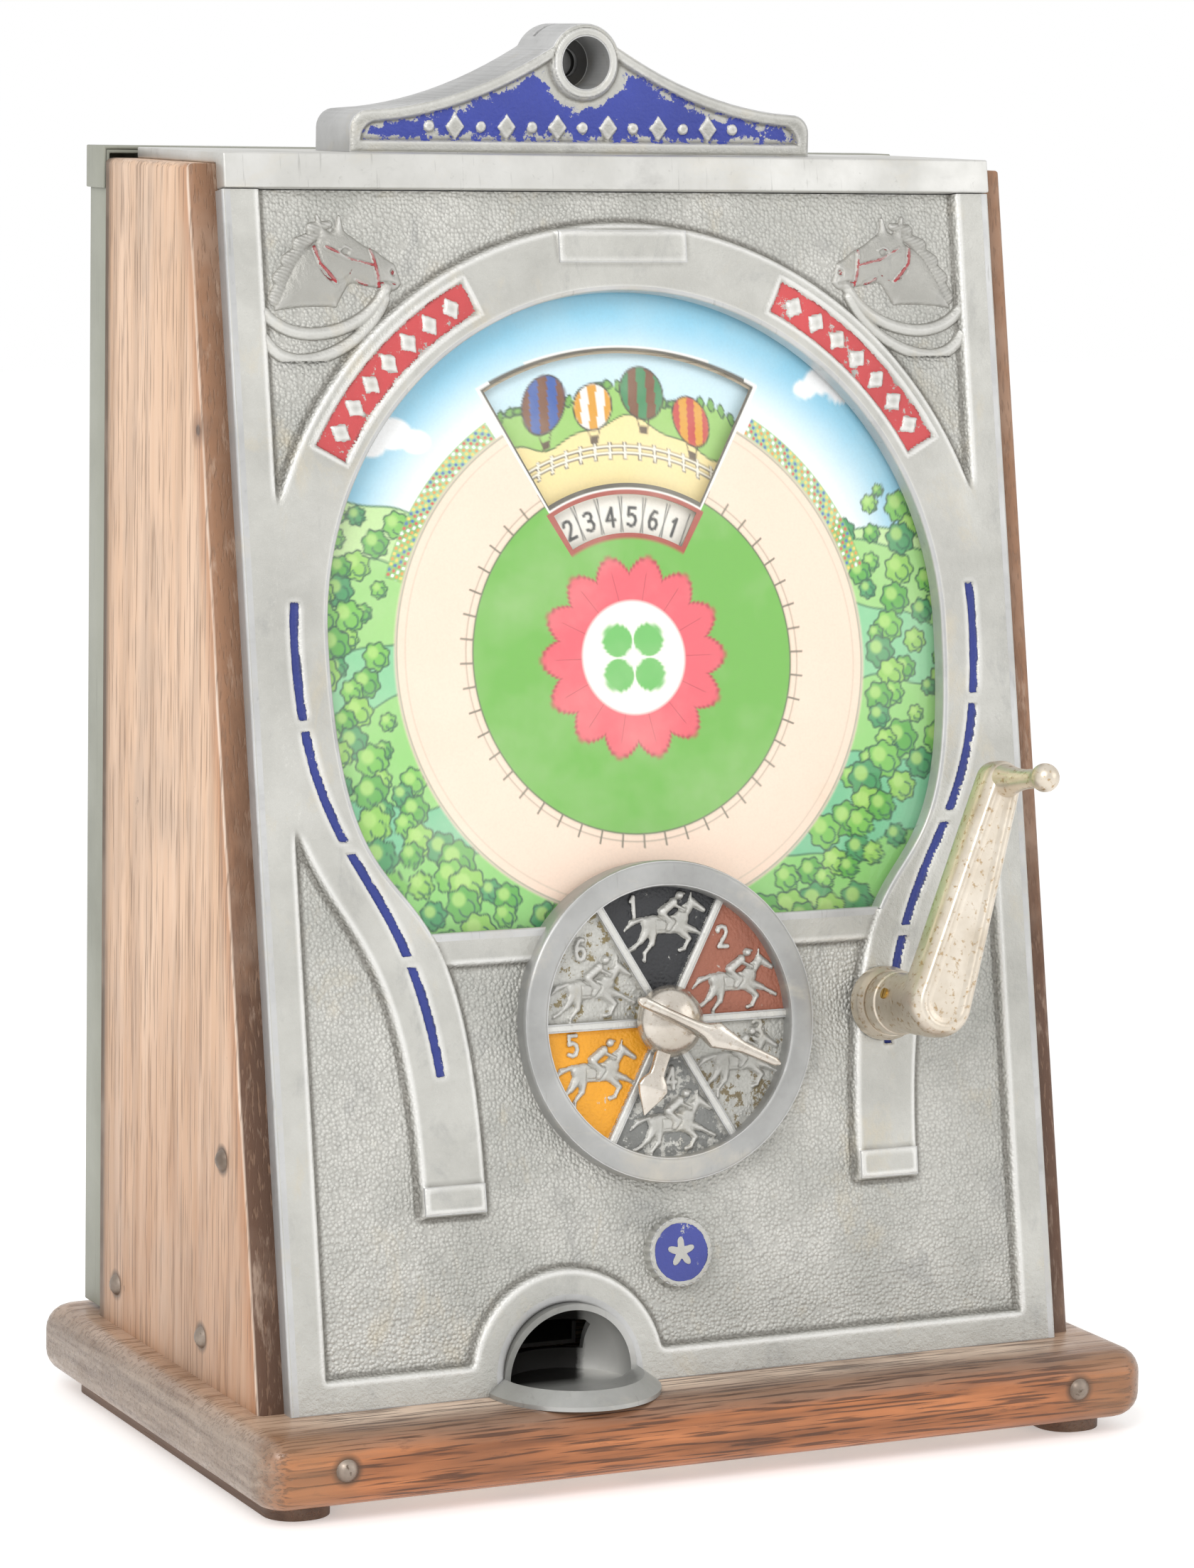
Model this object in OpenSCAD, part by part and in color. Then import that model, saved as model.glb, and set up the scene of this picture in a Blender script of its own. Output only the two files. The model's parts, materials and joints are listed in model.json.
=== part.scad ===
// Counter-top trade stimulator: oak cabinet, leaning cast front with a horseshoe
// window, selector dial, pull handle, coin head, payout cup and a steel rear door.
// Millimetres. +Z up, the front faces -Y, +X is to the right of someone facing it.
// The origin lies under the middle of the machine, on the surface that it stands on.

/* [Base and skids] */
// Width of the base board
base_w = 352; // [345:1:380]
// Depth of the base board
base_d = 224; // [218:1:240]
// Thickness of the base board
base_t = 25.4; // [22:0.2:32]
// Rounding of the base board's long edges
base_edge_r = 9; // [4:0.5:10]
// Rounding of the base board's corners seen from above
base_corner_r = 13; // [11:1:20]
// Width of a skid under the base
skid_w = 24; // [16:1:32]
// Height of a skid
skid_h = 6; // [4:0.5:10]
// Length of a skid
skid_len = 198; // [150:1:205]
// Distance from the base board's side to a skid
skid_inset = 10; // [6:1:20]

/* [Cabinet boards] */
// Distance from the base board's front edge to the foot of the front
front_setback = 31; // [28:1:40]
// Backward lean of the front, in degrees
lean = 10; // [8:0.5:11]
// Thickness of a side board
board_t = 19; // [16:0.5:22]
// Strip of side board that shows beside the front casting
board_reveal = 10; // [6:0.5:12]
// Depth of a side board at its foot, measured from the foot of the front
board_d = 162.5; // [156:0.5:166]
// Rounding of the side boards' outer edges
board_r = 2.5; // [1.5:0.5:8]
// Head radius of the round-head wood screws
screw_head_r = 4; // [3:0.25:5]
// Dome height of the round-head wood screws
screw_dome = 2.4; // [1.5:0.1:3]
// Shank length of the round-head wood screws
screw_len = 16; // [12:1:17]

/* [Front casting] */
// Width of the front casting
front_w = 305; // [300:1:310]
// Height of the front casting along its slope
front_h = 425; // [420:1:430]
// Thickness of the casting at its border
front_t = 6; // [5:0.5:8]
// Depth of the stippled field below the border
field_d = 3; // [2:0.25:4]
// Width of the side borders
side_border = 13; // [10:0.5:14]
// Height of the bottom border
foot_border = 10.5; // [8:0.5:12]
// Width of the horseshoe's band
shoe_band = 23.2; // [20:0.2:26]
// Distance from the casting's side to the horseshoe's outer edge
shoe_side = 6.5; // [4:0.5:9]
// Distance from the casting's top to the horseshoe
shoe_top = 12; // [8:0.5:16]
// Half distance between the inner edges of the two heels
heel_in = 75; // [70:0.5:78]
// Half distance between the outer edges of the two heels
heel_out = 98.5; // [94:0.5:102]
// Height of the heels' ends above the foot
heel_v = 65; // [60:1:70]
// Height of the raised calk at each heel
calk_h = 10; // [6:0.5:14]
// How far calks and toe clip stand above the shoe
calk_proud = 1.2; // [0.6:0.1:2]
// Width of the toe clip
toe_w = 51; // [40:1:60]
// Height of the toe clip
toe_h = 11.5; // [8:0.5:14]
// Distance from the top of the shoe to the toe clip
toe_drop = 2.2; // [1:0.1:4]
// Width of the painted groove in each branch of the shoe
groove_w = 3.5; // [2:0.25:5]
// Depth of the groove and of the painted panels
groove_depth = 1.2; // [0.6:0.1:1.6]
// Height of the window sill bar
sill_h = 11; // [8:0.5:13]
// Depth of the sill bar below the border
sill_d = 1; // [0.5:0.25:1.5]
// Radius of the small round boss under the dial
boss_r = 12.3; // [10:0.1:14]
// Height of the small round boss above the foot
boss_v = 44.5; // [42:0.5:48]

/* [Selector dial] */
// Height of the dial's centre above the foot
dial_v = 127; // [125:0.5:129]
// Outer radius of the dial ring
dial_out_r = 57.3; // [54:0.1:60]
// Inner radius of the dial ring
dial_in_r = 48.7; // [46:0.1:51]
// How far the dial ring stands out of the border
dial_proud = 4; // [2:0.25:6]
// Depth of the dial floor below the border
dial_floor_d = 2; // [1:0.25:3]
// Width of the ribs between the six fields
rib_w = 3; // [2:0.25:4]
// Radius of the pointer's domed hub
pointer_hub_r = 13; // [11:0.25:14]
// Length of the pointer's arrow from the hub's centre
arrow_len = 35; // [28:0.5:40]
// Direction of the arrow at rest, degrees from the right
arrow_deg = 249; // [240:1:258]
// Direction of the long end of the finger bar, degrees from the right
finger_deg = 334; // [325:1:340]
// Reach of the finger bar's long end
finger_long = 40; // [34:0.5:44]
// Reach of the finger bar's short end
finger_short = 15; // [12:0.5:20]
// Thickness of the finger bar
finger_t = 4; // [3:0.25:6]
// How far the finger bar stands out of the border
finger_proud = 19; // [16:0.5:24]
// Radius of the selector shaft
selector_shaft_r = 4; // [3:0.25:5]

/* [Pull handle] */
// Handle axis to the right of the middle
handle_u = 88; // [86:0.5:90]
// Lean of the arm at rest, degrees to the right of upright
handle_rest = 21.8; // [15:0.1:28]
// Length of the arm from its axis to the peg
arm_len = 84; // [76:0.5:90]
// Radius of the arm's lower end and of the barrel
arm_r = 12.5; // [11:0.25:14]
// Radius of the arm's upper end
arm_tip_r = 7.5; // [6:0.25:9]
// Distance from the border to the back of the arm
arm_back = 35; // [32:0.5:38]
// Thickness of the arm
arm_t = 13; // [10:0.5:15]
// Distance from the border to the ball's centre
ball_out = 73; // [66:0.5:78]
// Radius of the ball on the peg
ball_r = 5.2; // [4:0.1:6]
// Radius of the handle shaft
shaft_r = 5; // [4:0.25:6]

/* [Top casting and coin head] */
// How far the rail stands out of the front
rail_proud = 2; // [0:0.25:3]
// Thickness of the top plate
top_t = 4; // [3:0.5:5]
// Distance from the foot of the front back to the coin head's face
head_y = 103; // [100:0.5:106]
// Depth of the coin head
head_d = 31; // [28:0.5:34]
// Half width of the coin head at its foot
head_half_w = 92.5; // [86:0.5:98]
// Height of the coin head's shoulders above the top plate
head_shoulder = 15; // [12:0.5:18]
// Height of the coin boss's centre above the top plate
head_boss_z = 33; // [31:0.5:36]
// Outer radius of the coin boss
head_boss_r = 12.5; // [11.5:0.1:13]
// Radius of the coin recess in the boss
head_recess_r = 9.5; // [8.5:0.1:10]
// Radius of the sight hole behind the recess
sight_r = 5.4; // [4.5:0.1:6.5]
// Metal above the boss at the coin head's peak
head_peak = 1.6; // [1:0.1:3]
// Width of the coin slot
slot_w = 21; // [20:0.1:22]
// Gap of the coin slot
slot_gap = 2.6; // [2.2:0.1:3]
// Distance from the foot of the front back to the coin slot
slot_y = 125; // [124:0.5:127]
// Depth of the painted face below the coin head's rim
head_panel_d = 1.8; // [1:0.1:2.5]
// Width of the coin head's rim
head_rim = 4; // [3:0.25:6]
// Step between the painted face and the coin boss
boss_step = 0.6; // [0.4:0.1:1]

/* [Payout cup] */
// Cup centre to the left of the middle
cup_u = 46; // [44:0.5:48]
// Height of the arch's centre above the foot
cup_v = 4.75; // [4:0.25:6]
// Inner radius of the arch
arch_in_r = 26; // [24:0.25:28]
// Outer radius of the arch's border
arch_out_r = 37; // [35:0.25:39]
// Outer radius of the cup's lip
lip_r = 32; // [30:0.25:34]
// Wall of the cup
cup_wall = 2.2; // [1.5:0.1:3]

/* [Glass and reveal disc] */
// Thickness of the dial glass
glass_t = 3; // [2:0.25:4]
// Thickness of the printed card behind the glass
card_t = 0.6; // [0.4:0.1:1]
// Half angle of both windows in the card
card_half_deg = 29; // [24:0.5:32]
// Thickness of the reveal disc
disc_t = 1.5; // [1:0.1:2]
// Gap between the glass and the disc
disc_gap = 3.8; // [3:0.1:5]

/* [Mechanism] */
// Depth of the mechanism plate behind the border
plate_d = 44; // [43:0.5:46]
// Thickness of the mechanism plate
plate_t = 3; // [2:0.25:4]
// Radius of the disc arbor
arbor_r = 4; // [3:0.25:5]
// Outer radius of the disc bush
bush_r = 8; // [7:0.25:9]
// Running clearance between a shaft and its bore
run_clear = 0.05; // [0.02:0.01:0.08]
// Teeth on a full circle of the drive sector
sector_teeth = 144; // [132:12:156]
// Teeth of the drive pinion
pinion_teeth = 20; // [18:2:22]
// Teeth cut on the sector
sector_cut = 25; // [24:1:26]
// Depth of the gears behind the border
gear_d = 24; // [23.5:0.25:25]
// Face width of the gears
gear_t = 6; // [5:0.25:7]
// Side play between two meshing teeth
backlash = 0.5; // [0.3:0.05:0.8]
// Depth of the valleys of the star wheel
star_tooth = 4; // [3:0.25:5]
// Points of the star wheel
star_points = 24; // [16:4:28]
// Radius over the star wheel's points
star_r = 30; // [28:0.5:32]
// Teeth of the drive ratchet
ratchet_teeth = 12; // [12:12:24]
// Radius of the drive ratchet
ratchet_r = 16; // [15:0.25:17]
// Coils of the handle's return spring
spring_coils = 18; // [14:1:22]
// Mean radius of the return spring's coils
spring_r = 5; // [4:0.25:6]
// Wire radius of the return spring
spring_wire = 0.7; // [0.5:0.05:0.9]
// Wall of the sheet-metal chute, trough and cash box
sheet = 1.5; // [1:0.1:2]
// Height of the cash box
box_h = 45; // [35:1:48]

/* [Rear door] */
// Gap between the side boards and the door
door_gap = 3; // [2.5:0.25:4]
// Depth of the door's folded edge
door_d = 16; // [14:0.5:18]
// Thickness of the door's sheet
door_sheet = 1.5; // [1:0.1:2]
// Height of the cap over the door's top edge
cap_h = 14; // [10:0.5:18]
// Radius of the hinge pins
pin_r = 2; // [1.5:0.1:2.5]
// Outer radius of the hinge knuckles
knuckle_r = 4; // [3.6:0.1:4.4]
// Height of one hinge
hinge_h = 60; // [45:1:70]
// Radius of the lock's barrel
lock_r = 9.5; // [8.5:0.25:10]

/* [Hidden] */
$fn = 64;
eps = 0.02;
seat = 0.3;
base_top = skid_h + base_t;
body_half = front_w / 2 + board_reveal;
inner_half = body_half - board_t;
board_h = front_h + 2;

// Horseshoe, sill and handle
shoe_out_r = front_w / 2 - shoe_side;
shoe_in_r = shoe_out_r - shoe_band;
shoe_v = front_h - shoe_out_r - shoe_top;
panel_in_r = shoe_in_r + 5.7;
panel_out_r = shoe_out_r - 5;
sill_v = dial_v + 25;
handle_v = dial_v + 1;

// Disc, glass and card: the disc clears the horseshoe's edge and the selector's wheel
wheel_r = 13;
disc_v = shoe_v - 9;
disc_r = min(shoe_in_r - 8.8, disc_v - dial_v - wheel_r - 4);
glass_half_w = shoe_in_r + 7.2;
picture_out_r = disc_r - 3;
picture_in_r = disc_r - 51;
number_out_r = picture_in_r - 4;
number_in_r = number_out_r - 14;
plate_half_w = inner_half - 11.5;

// Where the ball on the handle's peg lies, seen from the front and outwards
ball_u = handle_u + arm_len * sin(handle_rest);
ball_v = handle_v + arm_len * cos(handle_rest);
ball_reach = ball_v * sin(lean) - ball_out * cos(lean) - ball_r;
// The machine reaches from the ball, or the base's front edge, to the base's back edge
reach_front = min(ball_reach, -front_setback);
foot_y = -(reach_front + base_d - front_setback) / 2;
base_y = foot_y - front_setback;
back_y = foot_y + board_d;

// Depths behind the border, counted inwards
glass_d = front_t + 0.2;
card_d = glass_d + glass_t;
card_back = card_d + card_t;
disc_d = glass_d + glass_t + disc_gap;
hub_d = disc_d + disc_t;
hub_flange = 3;
ratchet_d = hub_d + hub_flange;
ratchet_t = 3;
flange_d = ratchet_d + ratchet_t + 1;
flange_t = 1.5;
plate_back = plate_d + plate_t;
star_d = plate_back + 5;
star_t = 5;

// Gear train: sector on the handle shaft, pinion on the disc's axis
train = norm([handle_u, disc_v - handle_v]);
module_size = 2 * train / (sector_teeth + pinion_teeth);
mesh_deg = atan2(disc_v - handle_v, -handle_u);
sector_pitch_r = module_size * sector_teeth / 2;
pinion_pitch_r = module_size * pinion_teeth / 2;

// Coin head and chute
top_z = base_top + board_h;
head_z = top_z + top_t;
head_top = head_boss_z + head_boss_r + head_peak;
chute_w = slot_w + 2 * sheet;
chute_y = foot_y + slot_y;
chute_half = slot_gap / 2 + sheet;
chute_top = top_z;
chute_bend = base_top + 190;
chute_low = base_top + 104;
flap_y = chute_y + 8;
flap_z = chute_low - 8;
flap_len = 24;
trip_z = top_z - 127;

// Door and lock
door_y = back_y + door_gap;
door_half = body_half - 1.5;
door_foot = base_top + 2;
door_top = top_z + top_t - 1;
hinge_x = body_half + knuckle_r;
hinge_y = back_y + door_gap - 1;
hinge_low = base_top + 60;
hinge_high = top_z - 117;
lock_x = -(inner_half - 17.5);
lock_z = base_top + 0.5 * board_h + 16.5;
cam_len = 15;

// Shapes and frames that the sub-parts share

// The leaning front: x to the right, y inwards, z up the slope from the foot
module front_frame() {
  translate([0, foot_y, base_top])
    rotate([-lean, 0, 0])
      children();
}

// A flat shape of the front, thick from depth d0 to depth d1
module slab(d0, d1) {
  front_frame()
    translate([0, d1, 0])
      rotate([90, 0, 0])
        linear_extrude(d1 - d0)
          children();
}

// A round bar square to the front, from depth d0 to depth d1
module spindle(u, v, d0, d1, r) {
  front_frame()
    translate([u, d1, v])
      rotate([90, 0, 0])
        cylinder(h = d1 - d0, r = r);
}

// A turned shape about an axis square to the front; profile x is radius, y is depth
module turned(u, v) {
  front_frame()
    translate([u, 0, v])
      rotate([-90, 0, 0])
        rotate_extrude()
          children();
}

// A rectangle with round corners, made of true arcs
module round_rect(w, h, r) {
  square([w - 2 * r, h], center = true);
  square([w, h - 2 * r], center = true);
  for (x = [-1, 1], y = [-1, 1])
    translate([x * (w / 2 - r), y * (h / 2 - r)])
      circle(r);
}

// A bar between two circles on the y axis, with straight sides tangent to both
module tapered_bar(r1, r2, len) {
  a = asin((r1 - r2) / len);
  circle(r1);
  translate([0, len])
    circle(r2);
  polygon([[r1 * cos(a), r1 * sin(a)], [r2 * cos(a), len + r2 * sin(a)],
           [-r2 * cos(a), len + r2 * sin(a)], [-r1 * cos(a), r1 * sin(a)]]);
}

// A round-head wood screw along +z, its dome above z = 0
module wood_screw() {
  shank_r = screw_head_r * 0.45;
  ball = (screw_head_r * screw_head_r + screw_dome * screw_dome) / (2 * screw_dome);
  intersection() {
    translate([0, 0, screw_dome - ball])
      sphere(ball);
    cylinder(h = screw_dome, r = screw_head_r);
  }
  translate([0, 0, -screw_len])
    cylinder(h = screw_len + eps, r = shank_r);
}

// Points of a quarter arc, from angle a0 to a1
function arc(cx, cy, r, a0, a1, n = 10) =
  [for (i = [0 : n]) [cx + r * cos(a0 + (a1 - a0) * i / n), cy + r * sin(a0 + (a1 - a0) * i / n)]];

// A point on a cubic Bezier curve
function bezier(p, t) =
  pow(1 - t, 3) * p[0] + 3 * pow(1 - t, 2) * t * p[1] + 3 * (1 - t) * t * t * p[2] + pow(t, 3) * p[3];

// One branch of the shoe: from radius r at the centre's height down to half distance x at the heel
function branch(r, x, pull_top, pull_heel) =
  [[r, shoe_v], [r, shoe_v - pull_top], [x, heel_v + pull_heel], [x, heel_v]];
branch_drop = shoe_v - heel_v;
branch_in = branch(shoe_in_r, heel_in, 0.6386 * branch_drop, 0.7723 * branch_drop);
branch_out = branch(shoe_out_r, heel_out, 0.5842 * branch_drop, 0.6584 * branch_drop);
branch_mid = branch((shoe_in_r + shoe_out_r) / 2 + 1, (heel_in + heel_out) / 2,
                    0.4851 * branch_drop, 0.6634 * branch_drop);

// Base, boards and their screws

module base_board() {
  color("saddlebrown")
    translate([0, base_y + base_d / 2, skid_h])
      hull()
        for (x = [-1, 1], y = [-1, 1])
          translate([x * (base_w / 2 - base_corner_r), y * (base_d / 2 - base_corner_r), 0])
            rotate_extrude($fn = 48)
              polygon(concat(
                [[0, 0]],
                arc(base_corner_r - base_edge_r, base_edge_r, base_edge_r, -90, 0, 6),
                arc(base_corner_r - base_edge_r, base_t - base_edge_r, base_edge_r, 0, 90, 6),
                [[0, base_t]]));
}

module skid(side) {
  color("peru")
    translate([side * (base_w / 2 - skid_inset - skid_w / 2), base_y + base_d / 2, 0])
      linear_extrude(skid_h)
        round_rect(skid_w, skid_len, skid_w * 0.45);
}

module base_screws() {
  color("gray")
    for (x = [-1, 1])
      translate([x * (base_w / 2 - base_corner_r - 18), base_y, skid_h + base_t * 0.55])
        rotate([90, 0, 0])
          wood_screw();
}

// Outline of a side board, seen from its side: y back from the foot, z up from the base
module board_outline() {
  edge = front_t / cos(lean);
  top_front = board_h * tan(lean) + edge;
  polygon(concat(
    [[edge, 0]],
    [[board_d, 0]],
    arc(board_d - board_r, board_h - board_r, board_r, 0, 90),
    [[top_front, board_h]]));
}

module side_board(side) {
  color("sandybrown")
    mirror([side > 0 ? 1 : 0, 0, 0])
      intersection() {
        translate([-inner_half, foot_y, base_top])
          rotate([90, 0, -90])
            mirror([1, 0, 0])
              linear_extrude(board_t)
                board_outline();
        // Round nose along the leaning front edge
        front_frame()
          translate([0, 0, -board_h])
            linear_extrude(3 * board_h)
              polygon(concat(
                [[-inner_half, front_t]],
                arc(-body_half + board_r, front_t + board_r, board_r, 270, 180),
                [[-body_half, 2 * board_d], [-inner_half, 2 * board_d]]));
        // Round nose along the upright back edge
        translate([0, back_y, base_top])
          linear_extrude(board_h)
            polygon(concat(
              [[-inner_half, 0]],
              arc(-body_half + board_r / 2, -board_r / 2, board_r / 2, 90, 180),
              [[-body_half, -board_d - board_r], [-inner_half, -board_d - board_r]]));
        // Round nose along the top edge
        translate([0, back_y, base_top])
          rotate([90, 0, 0])
            linear_extrude(board_d)
              polygon(concat(
                [[-inner_half, 0], [-inner_half, board_h]],
                arc(-body_half + board_r, board_h - board_r, board_r, 90, 180),
                [[-body_half, 0]]));
      }
}

// Screws through the side boards: distance behind the foot, height above the base
side_screw_at = [[41.5, 83], [144.5, 15.5], [60, 15.5]];

module side_screws() {
  color("gray")
    for (side = [-1, 1], p = side_screw_at)
      translate([side * body_half, foot_y + p[0], base_top + p[1]])
        rotate([0, side * 90, 0])
          wood_screw();
}

// Front casting

// Everything inside one edge of the horseshoe, down to the heels
module shoe_area(r, b) {
  steps = 24;
  intersection() {
    translate([0, shoe_v])
      circle(r, $fn = 128);
    translate([-r, shoe_v])
      square([2 * r, 2 * r]);
  }
  leg = [for (i = [0 : steps]) bezier(b, i / steps)];
  polygon(concat(leg, [for (i = [steps : -1 : 0]) [-leg[i][0], leg[i][1]]]));
}

module shoe_outline() {
  difference() {
    shoe_area(shoe_out_r, branch_out);
    shoe_area(shoe_in_r, branch_in);
    translate([-heel_in, heel_v - 1])
      square([2 * heel_in, 2]);
  }
}

module window_outline() {
  difference() {
    intersection() {
      shoe_area(shoe_in_r, branch_in);
      translate([-shoe_out_r, sill_v + sill_h])
        square([2 * shoe_out_r, 2 * shoe_out_r]);
    }
    translate([0, dial_v])
      circle(dial_out_r);
  }
}

module sill_outline() {
  difference() {
    intersection() {
      shoe_area(shoe_in_r, branch_in);
      translate([-shoe_in_r, sill_v])
        square([2 * shoe_in_r, sill_h]);
    }
    translate([0, dial_v])
      circle((dial_in_r + dial_out_r) / 2);
  }
}

// The opening of the cup, and with border the arch round it
module arch_outline(r) {
  intersection() {
    translate([-cup_u, cup_v])
      circle(r);
    translate([-cup_u - r, 0])
      square([2 * r, cup_v + r]);
  }
  translate([-cup_u - r, 0])
    square([2 * r, cup_v]);
}

module front_border() {
  for (x = [-front_w / 2, front_w / 2 - side_border])
    translate([x, 0])
      square([side_border, front_h]);
  translate([-front_w / 2, 0])
    square([front_w, foot_border]);
}

// Middle line of the groove: round the shoe's shoulder, then down the branch
function groove_at(t) =
  t < 0 ? [branch_mid[0][0] * cos(60 * t), shoe_v - branch_mid[0][0] * sin(60 * t)]
        : bezier(branch_mid, t);

module groove_stretch(t0, t1) {
  steps = 8;
  ts = [for (i = [0 : steps]) t0 + (t1 - t0) * i / steps];
  mid = [for (t = ts) groove_at(t)];
  way = [for (t = ts) groove_at(t + 0.01) - groove_at(t - 0.01)];
  side = [for (w = way) [-w[1], w[0]] / norm(w) * groove_w / 2];
  polygon(concat([for (i = [0 : steps]) mid[i] + side[i]],
                 [for (i = [steps : -1 : 0]) mid[i] - side[i]]));
}

// Stretches of the groove, as curve parameters, with a nail block between two stretches
groove_stretches = [[-0.1, 0.105], [0.1235, 0.3623], [0.3933, 0.6617], [0.6847, 0.8598]];

// A panel round the shoe between two angles
module shoe_panel(a0, a1) {
  far = 2 * panel_out_r;
  intersection() {
    translate([0, shoe_v])
      difference() {
        circle(panel_out_r, $fn = 128);
        circle(panel_in_r, $fn = 128);
      }
    translate([0, shoe_v])
      polygon([[0, 0], [far * cos(a0), far * sin(a0)],
               [far * cos((a0 + a1) / 2), far * sin((a0 + a1) / 2)], [far * cos(a1), far * sin(a1)]]);
  }
}

panel_from = 29;
panel_to = 63;
clip_low = sill_v + 48;
clip_high = shoe_v + 68;
clip_at = [[-1, clip_low], [-1, clip_high], [1, clip_low], [1, clip_high]];
clip_len = 16;
clip_u = (glass_half_w + 1 + inner_half) / 2;
clip_w = inner_half - glass_half_w - 3;
post_u = inner_half - 21.5;
post_low = 110;
post_high = front_h - 15;
post_at = [[-post_u, post_low], [post_u, post_low], [-post_u, post_high], [post_u, post_high]];
post_r = 6;

module front_casting() {
  color("gainsboro")
    difference() {
      union() {
        // Stippled field
        slab(field_d, front_t)
          difference() {
            translate([-front_w / 2, 0])
              square([front_w, front_h]);
            window_outline();
            arch_outline(arch_in_r);
          }
        // Border, horseshoe and the arch over the cup
        slab(0, front_t)
          difference() {
            union() {
              front_border();
              shoe_outline();
              intersection() {
                arch_outline(arch_out_r);
                translate([-front_w, 0])
                  square([2 * front_w, front_h]);
              }
            }
            arch_outline(arch_in_r);
            window_outline();
          }
        slab(sill_d, front_t)
          sill_outline();
        // Calks on the heels and the toe clip
        slab(-calk_proud, front_t)
          intersection() {
            shoe_outline();
            translate([-front_w / 2, heel_v])
              square([front_w, calk_h]);
          }
        slab(-calk_proud, front_t)
          translate([-toe_w / 2, shoe_v + shoe_out_r - toe_drop - toe_h])
            square([toe_w, toe_h]);
        // Selector dial: ring, floor, six ribs and hub
        slab(-dial_proud, front_t)
          translate([0, dial_v])
            difference() {
              circle(dial_out_r);
              circle(dial_in_r);
            }
        slab(dial_floor_d, front_t)
          translate([0, dial_v])
            circle(dial_in_r + 1);
        slab(0, front_t)
          translate([0, dial_v])
            for (a = [0 : 60 : 300])
              rotate(a)
                translate([0, -rib_w / 2])
                  square([dial_in_r + 1, rib_w]);
        spindle(0, dial_v, -1, front_t, pointer_hub_r - 3);
        // Small round boss under the dial
        spindle(0, boss_v, -1, front_t, boss_r);
        // Pads for the glass clips and bosses for the mechanism posts, behind
        slab(field_d, card_back)
          for (p = clip_at)
            translate([p[0] * clip_u, p[1]])
              square([clip_w, clip_len], center = true);
        for (p = post_at)
          spindle(p[0], p[1], field_d, front_t + 2, post_r + 2);
      }
      // Painted groove with its nail blocks, and painted panels
      slab(-eps, groove_depth)
        for (m = [0, 1], s = groove_stretches)
          mirror([m, 0])
            groove_stretch(s[0], s[1]);
      slab(-eps, groove_depth)
        for (m = [0, 1])
          mirror([m, 0])
            shoe_panel(panel_from, panel_to);
      // Ring groove in the small boss
      turned(0, boss_v)
        translate([boss_r - 4.5, -1 - eps])
          square([2.5, groove_depth]);
      // Seats of the handle and selector bushes
      spindle(handle_u, handle_v, -dial_proud - 1, front_t + 4, bush_r);
      spindle(0, dial_v, -dial_proud - 1, front_t + 4, bush_r - 1.5);
      // Foot cut level with the base
      translate([-front_w, foot_y - front_t, base_top - 2 * front_t])
        cube([2 * front_w, 4 * front_t, 2 * front_t]);
    }
}

// Top casting with the coin head

// Outline of the coin head: a round peak over the boss and two hollow slopes
function slope_z(x) = head_shoulder + (head_top - head_shoulder) * pow(1 - x / head_half_w, 2);

module head_outline(inset = 0) {
  steps = 12;
  peak_r = head_boss_r + head_peak - inset;
  x0 = peak_r * 0.6;
  x1 = head_half_w - 8 - inset;
  shoulder_r = 7;
  right = concat(
    [[head_half_w - inset, inset]],
    arc(head_half_w - inset - shoulder_r, slope_z(x1) - inset - shoulder_r, shoulder_r, 0, 80, 6),
    [for (i = [steps : -1 : 0]) let (x = x0 + (x1 - shoulder_r - x0) * i / steps)
      [x, slope_z(x) - inset]]);
  polygon(concat(right, [for (i = [len(right) - 1 : -1 : 0]) [-right[i][0], right[i][1]]]));
  translate([0, head_boss_z])
    circle(peak_r);
}

// The coin head's own frame: x right, y back from its face, z up from the top plate
module head_frame() {
  translate([0, foot_y + head_y, head_z])
    children();
}

module head_slab(y0, y1) {
  head_frame()
    translate([0, y1, 0])
      rotate([90, 0, 0])
        linear_extrude(y1 - y0)
          children();
}

// Side view of the rail and the plate in one: y back from the foot of the front, z up from the base
module rail_and_plate() {
  back_d = front_t - seat;
  low = front_h + seat;
  high = board_h + top_t;
  polygon([[low * sin(lean) - rail_proud * cos(lean), low * cos(lean) + rail_proud * sin(lean)],
           [high * tan(lean) - rail_proud / cos(lean), high],
           [board_d - 6, high],
           [board_d - 6, board_h],
           [board_h * tan(lean) + back_d / cos(lean), board_h],
           [low * sin(lean) + back_d * cos(lean), low * cos(lean) - back_d * sin(lean)]]);
}

// The coin slot, from above the coin head down through the top plate
module coin_slot() {
  translate([-slot_w / 2, chute_y - slot_gap / 2, top_z - 1])
    cube([slot_w, slot_gap, head_top + top_t + 2]);
}

module top_casting() {
  color("gainsboro")
    difference() {
      translate([-front_w / 2, foot_y, base_top])
        rotate([90, 0, 90])
          linear_extrude(front_w)
            rail_and_plate();
      coin_slot();
    }
}

module coin_head() {
  boss_proud = 0.8;
  recess_end = slot_y - head_y - slot_gap / 2 - 3;
  color("gainsboro")
    difference() {
      union() {
        head_slab(0, head_d)
          head_outline();
        head_slab(-boss_proud, head_d / 2)
          translate([0, head_boss_z])
            circle(head_boss_r);
      }
      // Painted face inside the rim
      head_slab(-1, head_panel_d)
        difference() {
          head_outline(head_rim);
          translate([0, head_boss_z])
            circle(head_boss_r + boss_step);
        }
      // Coin recess and the sight hole through the head
      head_slab(-1, recess_end)
        translate([0, head_boss_z])
          circle(head_recess_r);
      head_slab(-1, head_d + 1)
        translate([0, head_boss_z])
          circle(sight_r);
      coin_slot();
    }
}

// Payout cup

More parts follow.
